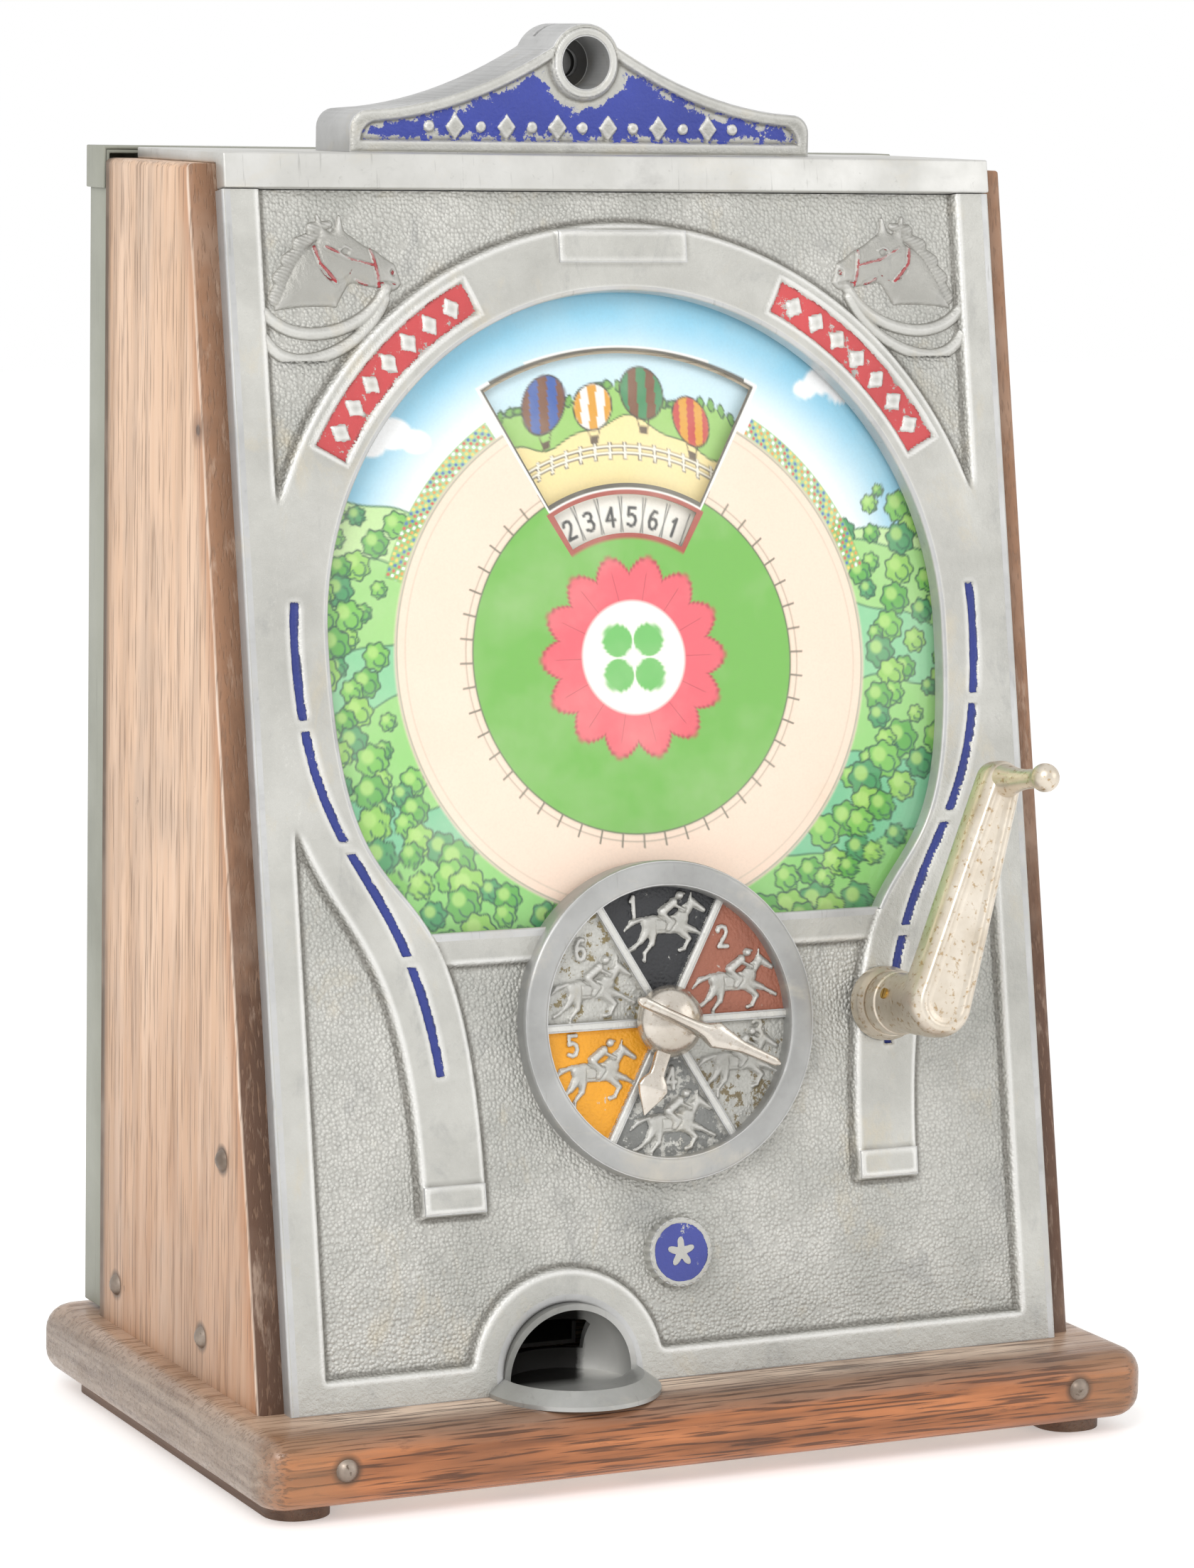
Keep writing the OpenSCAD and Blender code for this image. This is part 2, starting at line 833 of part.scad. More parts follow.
module coin_cup() {
  lip_top = 6;
  floor_t = 1.6;
  rear_r = arch_in_r - 0.2;
  color("silver")
    translate([-cup_u, foot_y, base_top]) {
      // Front half: a shallow dish with a sloping lip
      rotate([0, 0, 180])
        rotate_extrude(angle = 180)
          polygon([[0, 0], [lip_r, 0], [lip_r, 1.6], [arch_in_r, lip_top],
                   [arch_in_r - 2.5, lip_top - 1.2], [arch_in_r - 6, 2.6], [arch_in_r - 11, floor_t],
                   [0, floor_t]]);
      // Back half: a round hood behind the arch, with the payout mouth at the back
      difference() {
        intersection() {
          translate([0, 0, cup_v])
            sphere(rear_r);
          translate([-lip_r, 0, 0])
            cube([2 * lip_r, lip_r, 2 * lip_r]);
        }
        intersection() {
          translate([0, -eps, cup_v])
            sphere(rear_r - cup_wall);
          translate([-lip_r, -1, floor_t])
            cube([2 * lip_r, lip_r + 1, 2 * lip_r]);
        }
        translate([-mouth_w / 2, rear_r * 0.5, mouth_z])
          cube([mouth_w, rear_r, mouth_h]);
      }
    }
}

mouth_w = 27;
mouth_z = 9;
mouth_h = 12;

// Glass and its clips

module dial_glass() {
  low = sill_v + 4;
  high = shoe_v + shoe_in_r + 8;
  color([0.8, 0.95, 0.9, 0.5])
    slab(glass_d, glass_d + glass_t)
      translate([0, (low + high) / 2])
        round_rect(2 * glass_half_w, high - low, 3);
}

// A window of the card: part of a ring about the disc's centre, upright in the middle
module card_window(r_in, r_out) {
  far = 2 * r_out;
  intersection() {
    difference() {
      circle(r_out, $fn = 128);
      circle(r_in, $fn = 128);
    }
    polygon([[0, 0], [far * sin(card_half_deg), far * cos(card_half_deg)],
             [-far * sin(card_half_deg), far * cos(card_half_deg)]]);
  }
}

module print_card() {
  low = sill_v + 5;
  high = shoe_v + shoe_in_r + 7;
  color("lightyellow")
    slab(card_d, card_back)
      difference() {
        translate([0, (low + high) / 2])
          square([2 * glass_half_w - 2, high - low], center = true);
        translate([0, disc_v]) {
          card_window(picture_in_r, picture_out_r);
          card_window(number_in_r, number_out_r);
        }
      }
}

module glass_clips() {
  lap = 6;
  clip_t = 1.5;
  color("darkgray")
    for (p = clip_at) {
      slab(card_back + eps, card_back + clip_t)
        translate([p[0] * (clip_u - lap / 2), p[1]])
          square([clip_w + lap, clip_len - 4], center = true);
      spindle(p[0] * clip_u, p[1], card_back + clip_t / 2, card_back + clip_t + 2, 2.6);
    }
}

// Mechanism plate and what stands on it

module mechanism_plate() {
  low = post_low - 15;
  high = post_high + 8;
  color("lightslategray")
    slab(plate_d, plate_back)
      difference() {
        translate([0, (low + high) / 2])
          round_rect(2 * plate_half_w, high - low, 8);
        for (p = post_at)
          translate(p)
            circle(2.5);
        translate([0, disc_v])
          circle(bush_r);
        translate([handle_u, handle_v])
          circle(bush_r);
        translate(detent_at)
          circle(stud_r);
        // Lightening windows left and right of the arbor, and a notch under the coin head
        for (x = [-1, 1])
          translate([x * 85, disc_v + 30])
            round_rect(52, 150, 12);
        translate([0, high])
          round_rect(90, 100, 12);
      }
}

module mechanism_posts() {
  color("silver")
    for (p = post_at) {
      spindle(p[0], p[1], front_t + 2, plate_d, post_r);
      spindle(p[0], p[1], plate_d - 1, plate_back + 5, 2.5);
    }
}

module post_nuts() {
  nut_r = 4.6;
  color("dimgray")
    for (p = post_at)
      slab(plate_back, plate_back + 4)
        translate(p)
          difference() {
            circle(nut_r, $fn = 6);
            circle(2.5);
          }
}

// A flanged bush in the plate, its sleeve towards the front
module disc_bush() {
  color("goldenrod")
    turned(0, disc_v)
      difference() {
        union() {
          translate([0, flange_d + flange_t])
            square([bush_r, plate_back - flange_d - flange_t]);
          translate([0, plate_back])
            square([bush_r + 5, 3]);
        }
        translate([0, -plate_back])
          square([arbor_r + run_clear, 4 * plate_back]);
      }
}

module handle_bush() {
  color("goldenrod")
    turned(handle_u, handle_v)
      difference() {
        union() {
          translate([0, -0.8])
            square([bush_r, front_t + 8.8]);
          translate([0, front_t])
            square([bush_r + 4, 3]);
        }
        translate([0, -plate_back])
          square([shaft_r + run_clear, 3 * plate_back]);
      }
}

module shaft_bush() {
  color("goldenrod")
    turned(handle_u, handle_v)
      difference() {
        union() {
          translate([0, plate_d - 4])
            square([bush_r, plate_t + 4]);
          translate([0, plate_back])
            square([bush_r + 4, 3]);
        }
        translate([0, -plate_back])
          square([shaft_r + run_clear, 4 * plate_back]);
      }
}

module selector_bush() {
  color("goldenrod")
    turned(0, dial_v)
      difference() {
        union() {
          translate([0, -1])
            square([bush_r - 1.5, front_t + 5]);
          translate([0, front_t])
            square([bush_r + 2, 2.5]);
        }
        translate([0, -plate_back])
          square([selector_shaft_r + run_clear, 3 * plate_back]);
      }
}

// Handle and drive sector

// The handle's own frame: x across the arm, y inwards, z along the arm
module handle_frame() {
  front_frame()
    translate([handle_u, 0, handle_v])
      rotate([0, handle_rest, 0])
        children();
}

module handle_arm() {
  face_inset = 2.6;
  face_t = 4;
  barrel_front = -arm_back - arm_t + face_t;
  color("tan")
    difference() {
      union() {
        handle_frame() {
          // Barrel round the shaft
          rotate([90, 0, 0])
            translate([0, 0, collar_out + 0.4])
              cylinder(h = arm_back - collar_out, r = arm_r - 0.6);
          // Tapered arm, with a narrower raised face
          translate([0, -arm_back, 0])
            rotate([90, 0, 0])
              linear_extrude(arm_t - face_t)
                tapered_bar(arm_r, arm_tip_r, arm_len);
          translate([0, barrel_front, 0])
            rotate([90, 0, 0])
              linear_extrude(face_t)
                tapered_bar(arm_r - face_inset, arm_tip_r - face_inset, arm_len);
          // Peg with a waisted neck and a ball end
          translate([0, 0, arm_len])
            rotate([90, 0, 0])
              rotate_extrude()
                polygon(concat(
                  [[0, arm_back + 2], [arm_tip_r - 1, arm_back + 2], [arm_tip_r - 1.6, arm_back + arm_t],
                   [4.2, arm_back + arm_t + 6], [3.5, arm_back + arm_t + 12], [3.5, ball_out - ball_r]],
                  arc(0, ball_out, ball_r, -47, 90)));
        }
      }
      spindle(handle_u, handle_v, -arm_back - arm_t + 5, 1, shaft_r);
      handle_frame()
        translate([0, -screw_depth, 0])
          rotate([0, -90, 0])
            cylinder(h = 2 * arm_r, r = set_screw_r);
    }
}

collar_out = 8;
screw_depth = 21;
set_screw_r = 2;

module handle_collar() {
  color("tan")
    turned(handle_u, handle_v)
      difference() {
        polygon([[0, -1.2], [arm_r + 1, -1.2], [arm_r + 1, -5],
                 [arm_r - 0.5, -collar_out], [0, -collar_out]]);
        translate([0, -2 * collar_out])
          square([shaft_r, 4 * collar_out]);
      }
}

module handle_set_screw() {
  color("darkgoldenrod")
    handle_frame()
      translate([0, -screw_depth, 0])
        rotate([0, -90, 0])
          difference() {
            translate([0, 0, shaft_r + eps])
              cylinder(h = arm_r - shaft_r - 1, r = set_screw_r);
            translate([-3, -0.3, arm_r - 2])
              cube([6, 0.6, 3]);
          }
}

module handle_shaft() {
  color("silver") {
    spindle(handle_u, handle_v, -arm_back - arm_t + 5, plate_back + 8, shaft_r);
    spindle(handle_u, handle_v, plate_back + 3.3, plate_back + 7, shaft_r + 3);
  }
}

// One gear tooth about the origin, pointing along +x
module tooth(pitch_r, size, root) {
  half = (PI * size - 2 * backlash) / 4;
  tip = pitch_r + 0.9 * size;
  slope = tan(20);
  polygon([[root, half + slope * (pitch_r - root)], [tip, half - slope * (tip - pitch_r)],
           [tip, -half + slope * (tip - pitch_r)], [root, -half - slope * (pitch_r - root)]]);
}

module sector_outline() {
  root = sector_pitch_r - 1.2 * module_size;
  pitch = 360 / sector_teeth;
  a0 = mesh_deg - 2.5 * pitch;
  a1 = a0 + sector_cut * pitch;
  rim = 12;
  far = 2 * sector_pitch_r;
  intersection() {
    difference() {
      circle(root, $fn = 128);
      circle(root - rim, $fn = 128);
    }
    polygon([[0, 0], for (a = [a0 : (a1 - a0) / 4 : a1 + 0.01]) [far * cos(a), far * sin(a)]]);
  }
  for (i = [2 : sector_cut - 2])
    rotate(a0 + (i + 0.5) * pitch)
      tooth(sector_pitch_r, module_size, root - 1);
  circle(hub_out_r);
  // Two spokes from the hub to the ends of the rim
  for (a = [a0 + 3, a1 - 3])
    rotate(a)
      polygon([[0, -9], [root - rim / 2, -5], [root - rim / 2, 5], [0, 9]]);
  rotate(lug_deg)
    translate([0, -5])
      square([lug_r, 10]);
  rotate(lug_deg)
    translate([lug_r, 0])
      circle(5);
}

hub_out_r = 15;
lug_deg = 200;
lug_r = 38;
hook_r = 2.5;

module drive_sector() {
  color("silver")
    difference() {
      union() {
        slab(gear_d, gear_d + gear_t)
          translate([handle_u, handle_v])
            sector_outline();
        spindle(handle_u, handle_v, gear_d - 4, gear_d + gear_t + 4, hub_out_r - 3);
        // Pin that takes the return spring
        spindle(lug_u, lug_v, gear_d + gear_t - eps, gear_d + gear_t + 8, hook_r);
      }
      spindle(handle_u, handle_v, 0, plate_back, shaft_r);
    }
}

lug_u = handle_u + lug_r * cos(lug_deg);
lug_v = handle_v + lug_r * sin(lug_deg);
anchor_v = 32;
spring_d = gear_d + gear_t + 4;

module spring_anchor() {
  color("silver") {
    spindle(lug_u, anchor_v, front_t, spring_d + 5, hook_r);
    spindle(lug_u, anchor_v, front_t, front_t + 3, hook_r + 3);
  }
}

// Extension spring: an end loop round each pin and close coils between, swept as one tube
spring_low = anchor_v + 7;
spring_high = lug_v - 7;
spring_rings = 8;
loop_r = hook_r + spring_wire + 0.35;

function spring_coil(s) =
  let (a = 360 * spring_coils * s)
  [spring_r * cos(a), spring_r * sin(a), spring_low + (spring_high - spring_low) * s];

spring_path = concat(
  [for (i = [0 : 12]) let (a = 250 - 270 * i / 12)
    [loop_r * cos(a), 0, anchor_v + loop_r * sin(a)]],
  [for (i = [0 : spring_rings * spring_coils]) spring_coil(i / (spring_rings * spring_coils))],
  [for (i = [0 : 12]) let (a = -20 - 270 * i / 12)
    [loop_r * cos(a), 0, lug_v + loop_r * sin(a)]]);

module return_spring() {
  sides = 6;
  n = len(spring_path);
  way = [for (i = [0 : n - 1]) spring_path[min(i + 1, n - 1)] - spring_path[max(i - 1, 0)]];
  dir = [for (w = way) w / norm(w)];
  across = [for (d = dir)
    let (c = cross(d, [0, 0, 1]), e = norm(c) > 0.2 ? c : cross(d, [1, 0, 0])) e / norm(e)];
  ring = [for (i = [0 : n - 1], k = [0 : sides - 1])
    let (a = 360 * k / sides, up = cross(dir[i], across[i]))
      spring_path[i] + spring_wire * (cos(a) * across[i] + sin(a) * up)];
  walls = [for (i = [0 : n - 2], k = [0 : sides - 1])
    let (k2 = (k + 1) % sides, p = i * sides, q = p + sides)
      each [[p + k, q + k, p + k2], [p + k2, q + k, q + k2]]];
  ends = [for (k = [1 : sides - 2])
    each [[0, k, k + 1], [(n - 1) * sides, (n - 1) * sides + k + 1, (n - 1) * sides + k]]];
  gap = min([for (i = [0 : n - 1], j = [0 : n - 1])
    if (j - i > spring_rings * 0.8) norm(spring_path[i] - spring_path[j])]) - 2 * spring_wire;
  echo(str("return spring, least gap to itself: ", gap, " mm"));
  color("silver")
    front_frame()
      translate([lug_u, spring_d, 0])
        polyhedron(ring, concat(walls, ends));
}

// Disc, its arbor and the ratchet drive

module reveal_disc() {
  color("khaki")
    slab(disc_d, hub_d)
      translate([0, disc_v])
        difference() {
          circle(disc_r, $fn = 128);
          circle(arbor_r);
        }
}

module disc_hub() {
  color("silver")
    turned(0, disc_v)
      difference() {
        union() {
          translate([0, hub_d])
            square([22, hub_flange]);
          translate([0, hub_d])
            square([hub_boss_r, flange_d + flange_t - hub_d - 0.3]);
        }
        square([arbor_r, 2 * plate_back]);
      }
}

hub_boss_r = bush_r - 0.5;
nut_t = 2.6;

module hub_nut() {
  color("dimgray")
    slab(disc_d - nut_t, disc_d)
      translate([0, disc_v])
        difference() {
          circle(8, $fn = 6);
          circle(arbor_r);
        }
}

module drive_ratchet() {
  color("silver")
    slab(ratchet_d, ratchet_d + ratchet_t)
      translate([0, disc_v])
        difference() {
          polygon([for (i = [0 : ratchet_teeth - 1])
            let (a = 360 * i / ratchet_teeth, b = a + 330 / ratchet_teeth)
              each [[ratchet_r * cos(a), ratchet_r * sin(a)],
                    [(ratchet_r - 3) * cos(b), (ratchet_r - 3) * sin(b)]]]);
          circle(hub_boss_r);
        }
}

module disc_arbor() {
  color("silver")
    spindle(0, disc_v, disc_d - nut_t, star_d + star_t + 6, arbor_r);
}

module star_wheel() {
  color("goldenrod")
    slab(star_d, star_d + star_t)
      translate([0, disc_v])
        difference() {
          polygon([for (i = [0 : 2 * star_points - 1])
            let (a = 180 * (i + 0.5) / star_points, r = i % 2 == 0 ? star_r : star_r - star_tooth)
              [r * cos(a + star_turn), r * sin(a + star_turn)]]);
          circle(arbor_r);
          for (a = [0 : 90 : 270])
            rotate(a)
              translate([16, 0])
                circle(5);
        }
}

module arbor_collar() {
  color("dimgray")
    slab(star_d + star_t, star_d + star_t + 6)
      translate([0, disc_v])
        difference() {
          circle(9);
          circle(arbor_r);
        }
}

// The pinion turns on the bush's sleeve and carries the pawl on its flange
module drive_pinion() {
  root = pinion_pitch_r - 1.2 * module_size;
  color("goldenrod")
    difference() {
      union() {
        slab(gear_d - 0.2, gear_d + gear_t + 1)
          translate([0, disc_v]) {
            circle(root);
            for (i = [0 : pinion_teeth - 1])
              rotate(mesh_deg + 180 + 360 * (i + 0.5) / pinion_teeth)
                tooth(pinion_pitch_r, module_size, root - 1);
          }
        spindle(0, disc_v, flange_d, flange_d + flange_t, pawl_at_r + 4);
        spindle(0, disc_v, flange_d, gear_d + gear_t + 1, root - 1);
        // Stud of the pawl
        spindle(pawl_u, pawl_v, ratchet_d - 0.5, flange_d + eps, pawl_stud_r);
      }
      spindle(0, disc_v, -1, plate_back, bush_r + run_clear);
    }
}

pawl_at_r = 25;
pawl_deg = 100;
pawl_u = pawl_at_r * cos(pawl_deg);
pawl_v = disc_v + pawl_at_r * sin(pawl_deg);
pawl_stud_r = 2;
nose_deg = 65;

module drive_pawl() {
  eye_r = 4;
  nose = [(ratchet_r + 0.8) * cos(nose_deg), disc_v + (ratchet_r + 0.8) * sin(nose_deg)];
  back = [(ratchet_r + 4.5) * cos(nose_deg - 1), disc_v + (ratchet_r + 4.5) * sin(nose_deg - 1)];
  color("dimgray")
    slab(ratchet_d + seat, ratchet_d + ratchet_t - seat)
      difference() {
        union() {
          translate([pawl_u, pawl_v])
            circle(eye_r);
          polygon([[pawl_u + 0.5, pawl_v - eye_r + 0.2], nose, back, [pawl_u + 1, pawl_v + eye_r - 0.2]]);
        }
        translate([pawl_u, pawl_v])
          circle(pawl_stud_r + run_clear);
      }
}

// Detent lever that drops into the star wheel, behind the plate
detent_at = [52, disc_v - 36];
stud_r = 3;
detent_deg = 300;
nose_r = 1.6;
// Turn that puts a valley of the star under the lever's nose
star_turn = detent_deg - 270 / star_points;

module detent_stud() {
  color("silver") {
    spindle(detent_at[0], detent_at[1], plate_d, star_d + star_t + 3, stud_r);
    spindle(detent_at[0], detent_at[1], plate_back, star_d - 0.3, stud_r + 3);
  }
}

module detent_lever() {
  eye_r = 7;
  nose_at = star_r - star_tooth + nose_r + 1.3;
  nose = [nose_at * cos(detent_deg), disc_v + nose_at * sin(detent_deg)];
  reach = norm(detent_at - nose);
  turn = atan2(nose[1] - detent_at[1], nose[0] - detent_at[0]);
  color("dimgray")
    slab(star_d, star_d + star_t)
      translate(detent_at)
        rotate(turn - 90)
          difference() {
            tapered_bar(eye_r, nose_r, reach);
            circle(stud_r + run_clear);
          }
}

// Selector pointer, its shaft and its click wheel

module selector_pointer() {
  dome = 9;
  color("tan")
    difference() {
      union() {
        // Domed hub
        turned(0, dial_v)
          polygon(concat([[0, -pointer_d]],
            [for (i = [0 : 8]) [pointer_hub_r * cos(11.25 * i), -pointer_d - dome * sin(11.25 * i)]]));
        // Arrow lying close over the dial
        slab(-pointer_d - 3, -pointer_d)
          translate([0, dial_v])
            rotate(arrow_deg)
              polygon([[0, -4], [arrow_len - 14, -3], [arrow_len - 11, -6.5], [arrow_len, 0],
                       [arrow_len - 11, 6.5], [arrow_len - 14, 3], [0, 4]]);
        // Upright finger bar across the hub
        front_frame()
          translate([0, 0, dial_v])
            rotate([0, -finger_deg, 0])
              translate([0, 0, -finger_t / 2])
                linear_extrude(finger_t)
                  polygon([[-finger_short, -finger_proud], [finger_long, -finger_proud],
                           [finger_long, -finger_proud + 5], [pointer_hub_r + 6, -pointer_d - 4],
                           [-pointer_hub_r + 3, -pointer_d - 4], [-finger_short, -finger_proud + 5]]);
      }
      spindle(0, dial_v, -pointer_d - dome + 3, 1, selector_shaft_r);
    }
}

module selector_shaft() {
  color("silver")
    spindle(0, dial_v, -pointer_d - 6, wheel_d + wheel_t + 2, selector_shaft_r);
}

pointer_d = 2.5;
wheel_d = front_t + 6;
wheel_t = 5;
notch_r = 2.2;

module selector_wheel() {
  color("goldenrod")
    slab(wheel_d, wheel_d + wheel_t)
      translate([0, dial_v])
        difference() {
          circle(wheel_r);
          circle(selector_shaft_r);
          for (a = [0 : 60 : 300])
            rotate(a + 30)
              translate([wheel_r, 0])
                circle(notch_r);
        }
}

module selector_spring() {
  spring_t = 0.8;
  color("silver") {
    // Leaf that presses on the click wheel from the right, and the block that holds it
    slab(wheel_d, wheel_d + wheel_t)
      translate([wheel_r + seat, dial_v - 18])
        square([spring_t, 30]);
    slab(front_t, wheel_d + wheel_t)
      translate([wheel_r + seat, dial_v - 28])
        square([12, 10]);
  }
}

// Coin chute, trip, flap, trough and cash box

// Middle line of the chute seen from the front: straight down, then over to the cup
module chute_outline(w, grow) {
  h = w / 2;
  polygon([[-h, chute_top + grow], [h, chute_top + grow], [h, chute_bend],
           [-cup_u + h, chute_low + 18], [-cup_u + h, chute_low - grow],
           [-cup_u - h, chute_low - grow], [-cup_u - h, chute_low + 18 + 6], [-h, chute_bend + 6]]);
}

module upright_slab(y0, y1) {
  translate([0, y1, 0])
    rotate([90, 0, 0])
      linear_extrude(y1 - y0)
        children();
}

module coin_chute() {
  ear = 2;
  color("lightslategray")
    difference() {
      union() {
        upright_slab(chute_y - chute_half, chute_y + chute_half)
          chute_outline(chute_w, 0);
        // Flange under the top plate
        translate([-chute_w / 2 - 10, chute_y - 9, chute_top - 2])
          cube([chute_w + 20, 18, 2]);
        // Ears for the trip's pin and for the flap's pin
        for (x = [-1, 1]) {
          translate([x * 4.5 - ear / 2, chute_y + chute_half - eps, trip_z - 4])
            cube([ear, 9, 8]);
          translate([-cup_u + x * (slot_w / 2 + ear / 2) - ear / 2, chute_y - chute_half, flap_z - 4])
            cube([ear, flap_y - chute_y + chute_half + 4, chute_low - flap_z + 8]);
        }
      }
      upright_slab(chute_y - slot_gap / 2, chute_y + slot_gap / 2)
        chute_outline(slot_w, 1);
      // Slot that lets the trip's finger in
      translate([-2, chute_y, trip_z - 8])
        cube([4, 10, 12]);
      // Bores of both pins
      translate([-20, trip_y, trip_z])
        rotate([0, 90, 0])
          cylinder(h = 40, r = small_pin_r);
      translate([-cup_u - 20, flap_y, flap_z])
        rotate([0, 90, 0])
          cylinder(h = 40, r = small_pin_r);
    }
}

small_pin_r = 1.5;
trip_y = chute_y + chute_half + 5;
finger_reach = 7.6;

module trip_pin() {
  color("silver")
    translate([-6.5, trip_y, trip_z])
      rotate([0, 90, 0])
        cylinder(h = 13, r = small_pin_r);
}

module coin_trip() {
  t = 2.4;
  color("goldenrod")
    translate([-t / 2, trip_y, trip_z])
      rotate([90, 0, 90])
        linear_extrude(t)
          difference() {
            union() {
              circle(3.2);
              // Finger in the coin's way, and a weighted tail
              translate([-finger_reach, -1])
                square([finger_reach + 1, 2]);
              polygon([[0, -2.5], [20, -5], [20, 5], [0, 2.5]]);
            }
            circle(small_pin_r + run_clear);
          }
}

module payout_flap() {
  half = slot_w / 2 - 1;
  color("lightslategray")
    translate([-cup_u - half, flap_y, flap_z])
      rotate([90, 0, 90])
        linear_extrude(2 * half)
          difference() {
            union() {
              circle(2.8);
              translate([-sheet / 2, -flap_len])
                square([sheet, flap_len]);
            }
            circle(small_pin_r + run_clear);
          }
}

module flap_pin() {
  color("silver")
    translate([-cup_u - chute_w / 2, flap_y, flap_z])
      rotate([0, 90, 0])
        cylinder(h = chute_w, r = small_pin_r);
}

trough_top_y = chute_y - 12;
trough_top_z = flap_z - 24;
trough_low_y = foot_y + arch_in_r - cup_wall - 1;
trough_low_z = base_top + mouth_z + 1.2;
trough_half = mouth_w / 2 - 1;
trough_side = 8;

// Side view of the trough's floor line, and the trough along it
module trough_side_view(low, high) {
  polygon([[trough_low_y, trough_low_z + low], [trough_top_y, trough_top_z + low],
           [trough_top_y, trough_top_z + high], [trough_low_y, trough_low_z + high]]);
}

module across_slab(x0, x1) {
  translate([x0, 0, 0])
    rotate([90, 0, 90])
      linear_extrude(x1 - x0)
        children();
}

module payout_trough() {
  foot_at = box_y0 - sheet - 0.5;
  slope = (trough_top_z - trough_low_z) / (trough_top_y - trough_low_y);
  leg_h = trough_low_z + slope * (foot_at - trough_low_y) + 0.5 - base_top;
  color("lightslategray") {
    across_slab(-cup_u - trough_half, -cup_u + trough_half)
      trough_side_view(0, sheet);
    for (x = [-cup_u - trough_half, -cup_u + trough_half - sheet])
      across_slab(x, x + sheet)
        trough_side_view(0, trough_side);
    // Leg that carries the upper end
    translate([-cup_u - trough_half, foot_at, base_top])
      cube([2 * trough_half, sheet, leg_h]);
    translate([-cup_u - trough_half, foot_at - 12, base_top])
      cube([2 * trough_half, 12 + eps, sheet]);
  }
}

box_x0 = -100;
box_x1 = 40;
box_y0 = chute_y - 21;
box_y1 = back_y - 8;

module cash_box() {
  color("slategray")
    difference() {
      translate([box_x0, box_y0, base_top])
        cube([box_x1 - box_x0, box_y1 - box_y0, box_h]);
      translate([box_x0 + sheet, box_y0 + sheet, base_top + sheet])
        cube([box_x1 - box_x0 - 2 * sheet, box_y1 - box_y0 - 2 * sheet, box_h]);
    }
}

// Rear door, its hinges and its lock

module rear_door() {
  color("darkseagreen")
    difference() {
      translate([-door_half, door_y, door_foot])
        cube([2 * door_half, door_d, door_top - door_foot]);
      translate([-door_half + door_sheet, door_y - 1, door_foot + door_sheet])
        cube([2 * (door_half - door_sheet), door_d - door_sheet + 1,
              door_top - door_foot - 2 * door_sheet]);
      translate([lock_x, door_y + door_d + 1, lock_z])
        rotate([90, 0, 0])
          cylinder(h = door_d, r = lock_r);
    }
}

module door_cap() {
  grow = 1.2;
  color("darkseagreen")
    difference() {
      translate([-door_half - grow, door_y - 0.6, door_top - cap_h])
        cube([2 * (door_half + grow), door_d + 0.6 + grow, cap_h + grow]);
      translate([-door_half, door_y - 5, door_top - cap_h - 1])
        cube([2 * door_half, door_d + 5, cap_h + 1]);
    }
}

// Knuckle stretches of one hinge: the case leaf has the middle one
module hinge_knuckle(z0, z1) {
  translate([hinge_x, hinge_y, z0])
    difference() {
      cylinder(h = z1 - z0, r = knuckle_r);
      translate([0, 0, -1])
        cylinder(h = z1 - z0 + 2, r = pin_r + run_clear);
    }
}

leaf_t = 1.5;
hinge_play = 0.4;

module hinge_leaf_case() {
  third = hinge_h / 3;
  tongue = hinge_y - (back_y - 32);
  color("darkgray")
    for (z = [hinge_low, hinge_high]) {
      hinge_knuckle(z + third + hinge_play, z + 2 * third - hinge_play);
      difference() {
        union() {
          translate([body_half, back_y - 32, z])
            cube([leaf_t, 32 - 5, hinge_h]);
          translate([body_half, back_y - 32, z + third + hinge_play])
            cube([leaf_t, tongue, third - 2 * hinge_play]);
        }
        translate([hinge_x, hinge_y, z])
          cylinder(h = hinge_h, r = pin_r + run_clear + 1);
      }
    }
}

module hinge_leaf_door() {
  third = hinge_h / 3;
  color("darkgray")
    for (z = [hinge_low, hinge_high]) {
      for (k = [0, 2])
        hinge_knuckle(z + k * third, z + (k + 1) * third);
      translate([door_half, hinge_y + knuckle_r + 1, z])
        cube([leaf_t, door_d - knuckle_r - 2, hinge_h]);
      for (k = [0, 2])
        difference() {
          translate([door_half, hinge_y, z + k * third])
            cube([leaf_t + 1.2, knuckle_r + 2, third]);
          translate([hinge_x, hinge_y, z - 1])
            cylinder(h = hinge_h + 2, r = pin_r + run_clear + 1);
        }
    }
}

module hinge_pins() {
  color("silver")
    for (z = [hinge_low, hinge_high])
      translate([hinge_x, hinge_y, z - 1]) {
        cylinder(h = hinge_h + 2, r = pin_r);
        translate([0, 0, hinge_h + 1.5])
          cylinder(h = 2, r = pin_r + 1.2);
      }
}

keeper_y = back_y - 4.5;
cam_y = keeper_y - 3.5;
cam_t = 2;

module lock_barrel() {
  out = door_y + door_d;
  color("goldenrod")
    translate([lock_x, out, lock_z])
      rotate([90, 0, 0])
        difference() {
          union() {
            cylinder(h = out - cam_y - cam_t, r = lock_r);
            translate([0, 0, -2.5])
              cylinder(h = 2.5, r = lock_r + 3);
            cylinder(h = out - cam_y + 0.8, r = 3);
          }
          // Keyway
          translate([-0.8, -4, -3])
            cube([1.6, 8, 7]);
        }
}

module lock_cam() {
  color("dimgray")
    translate([lock_x, cam_y + cam_t - 0.1, lock_z])
      rotate([90, 0, 0])
        linear_extrude(cam_t - 0.3)
          difference() {
            tapered_bar(6.5, 4.5, cam_len - 4.5);
            circle(3 + 2 * run_clear);
          }
}

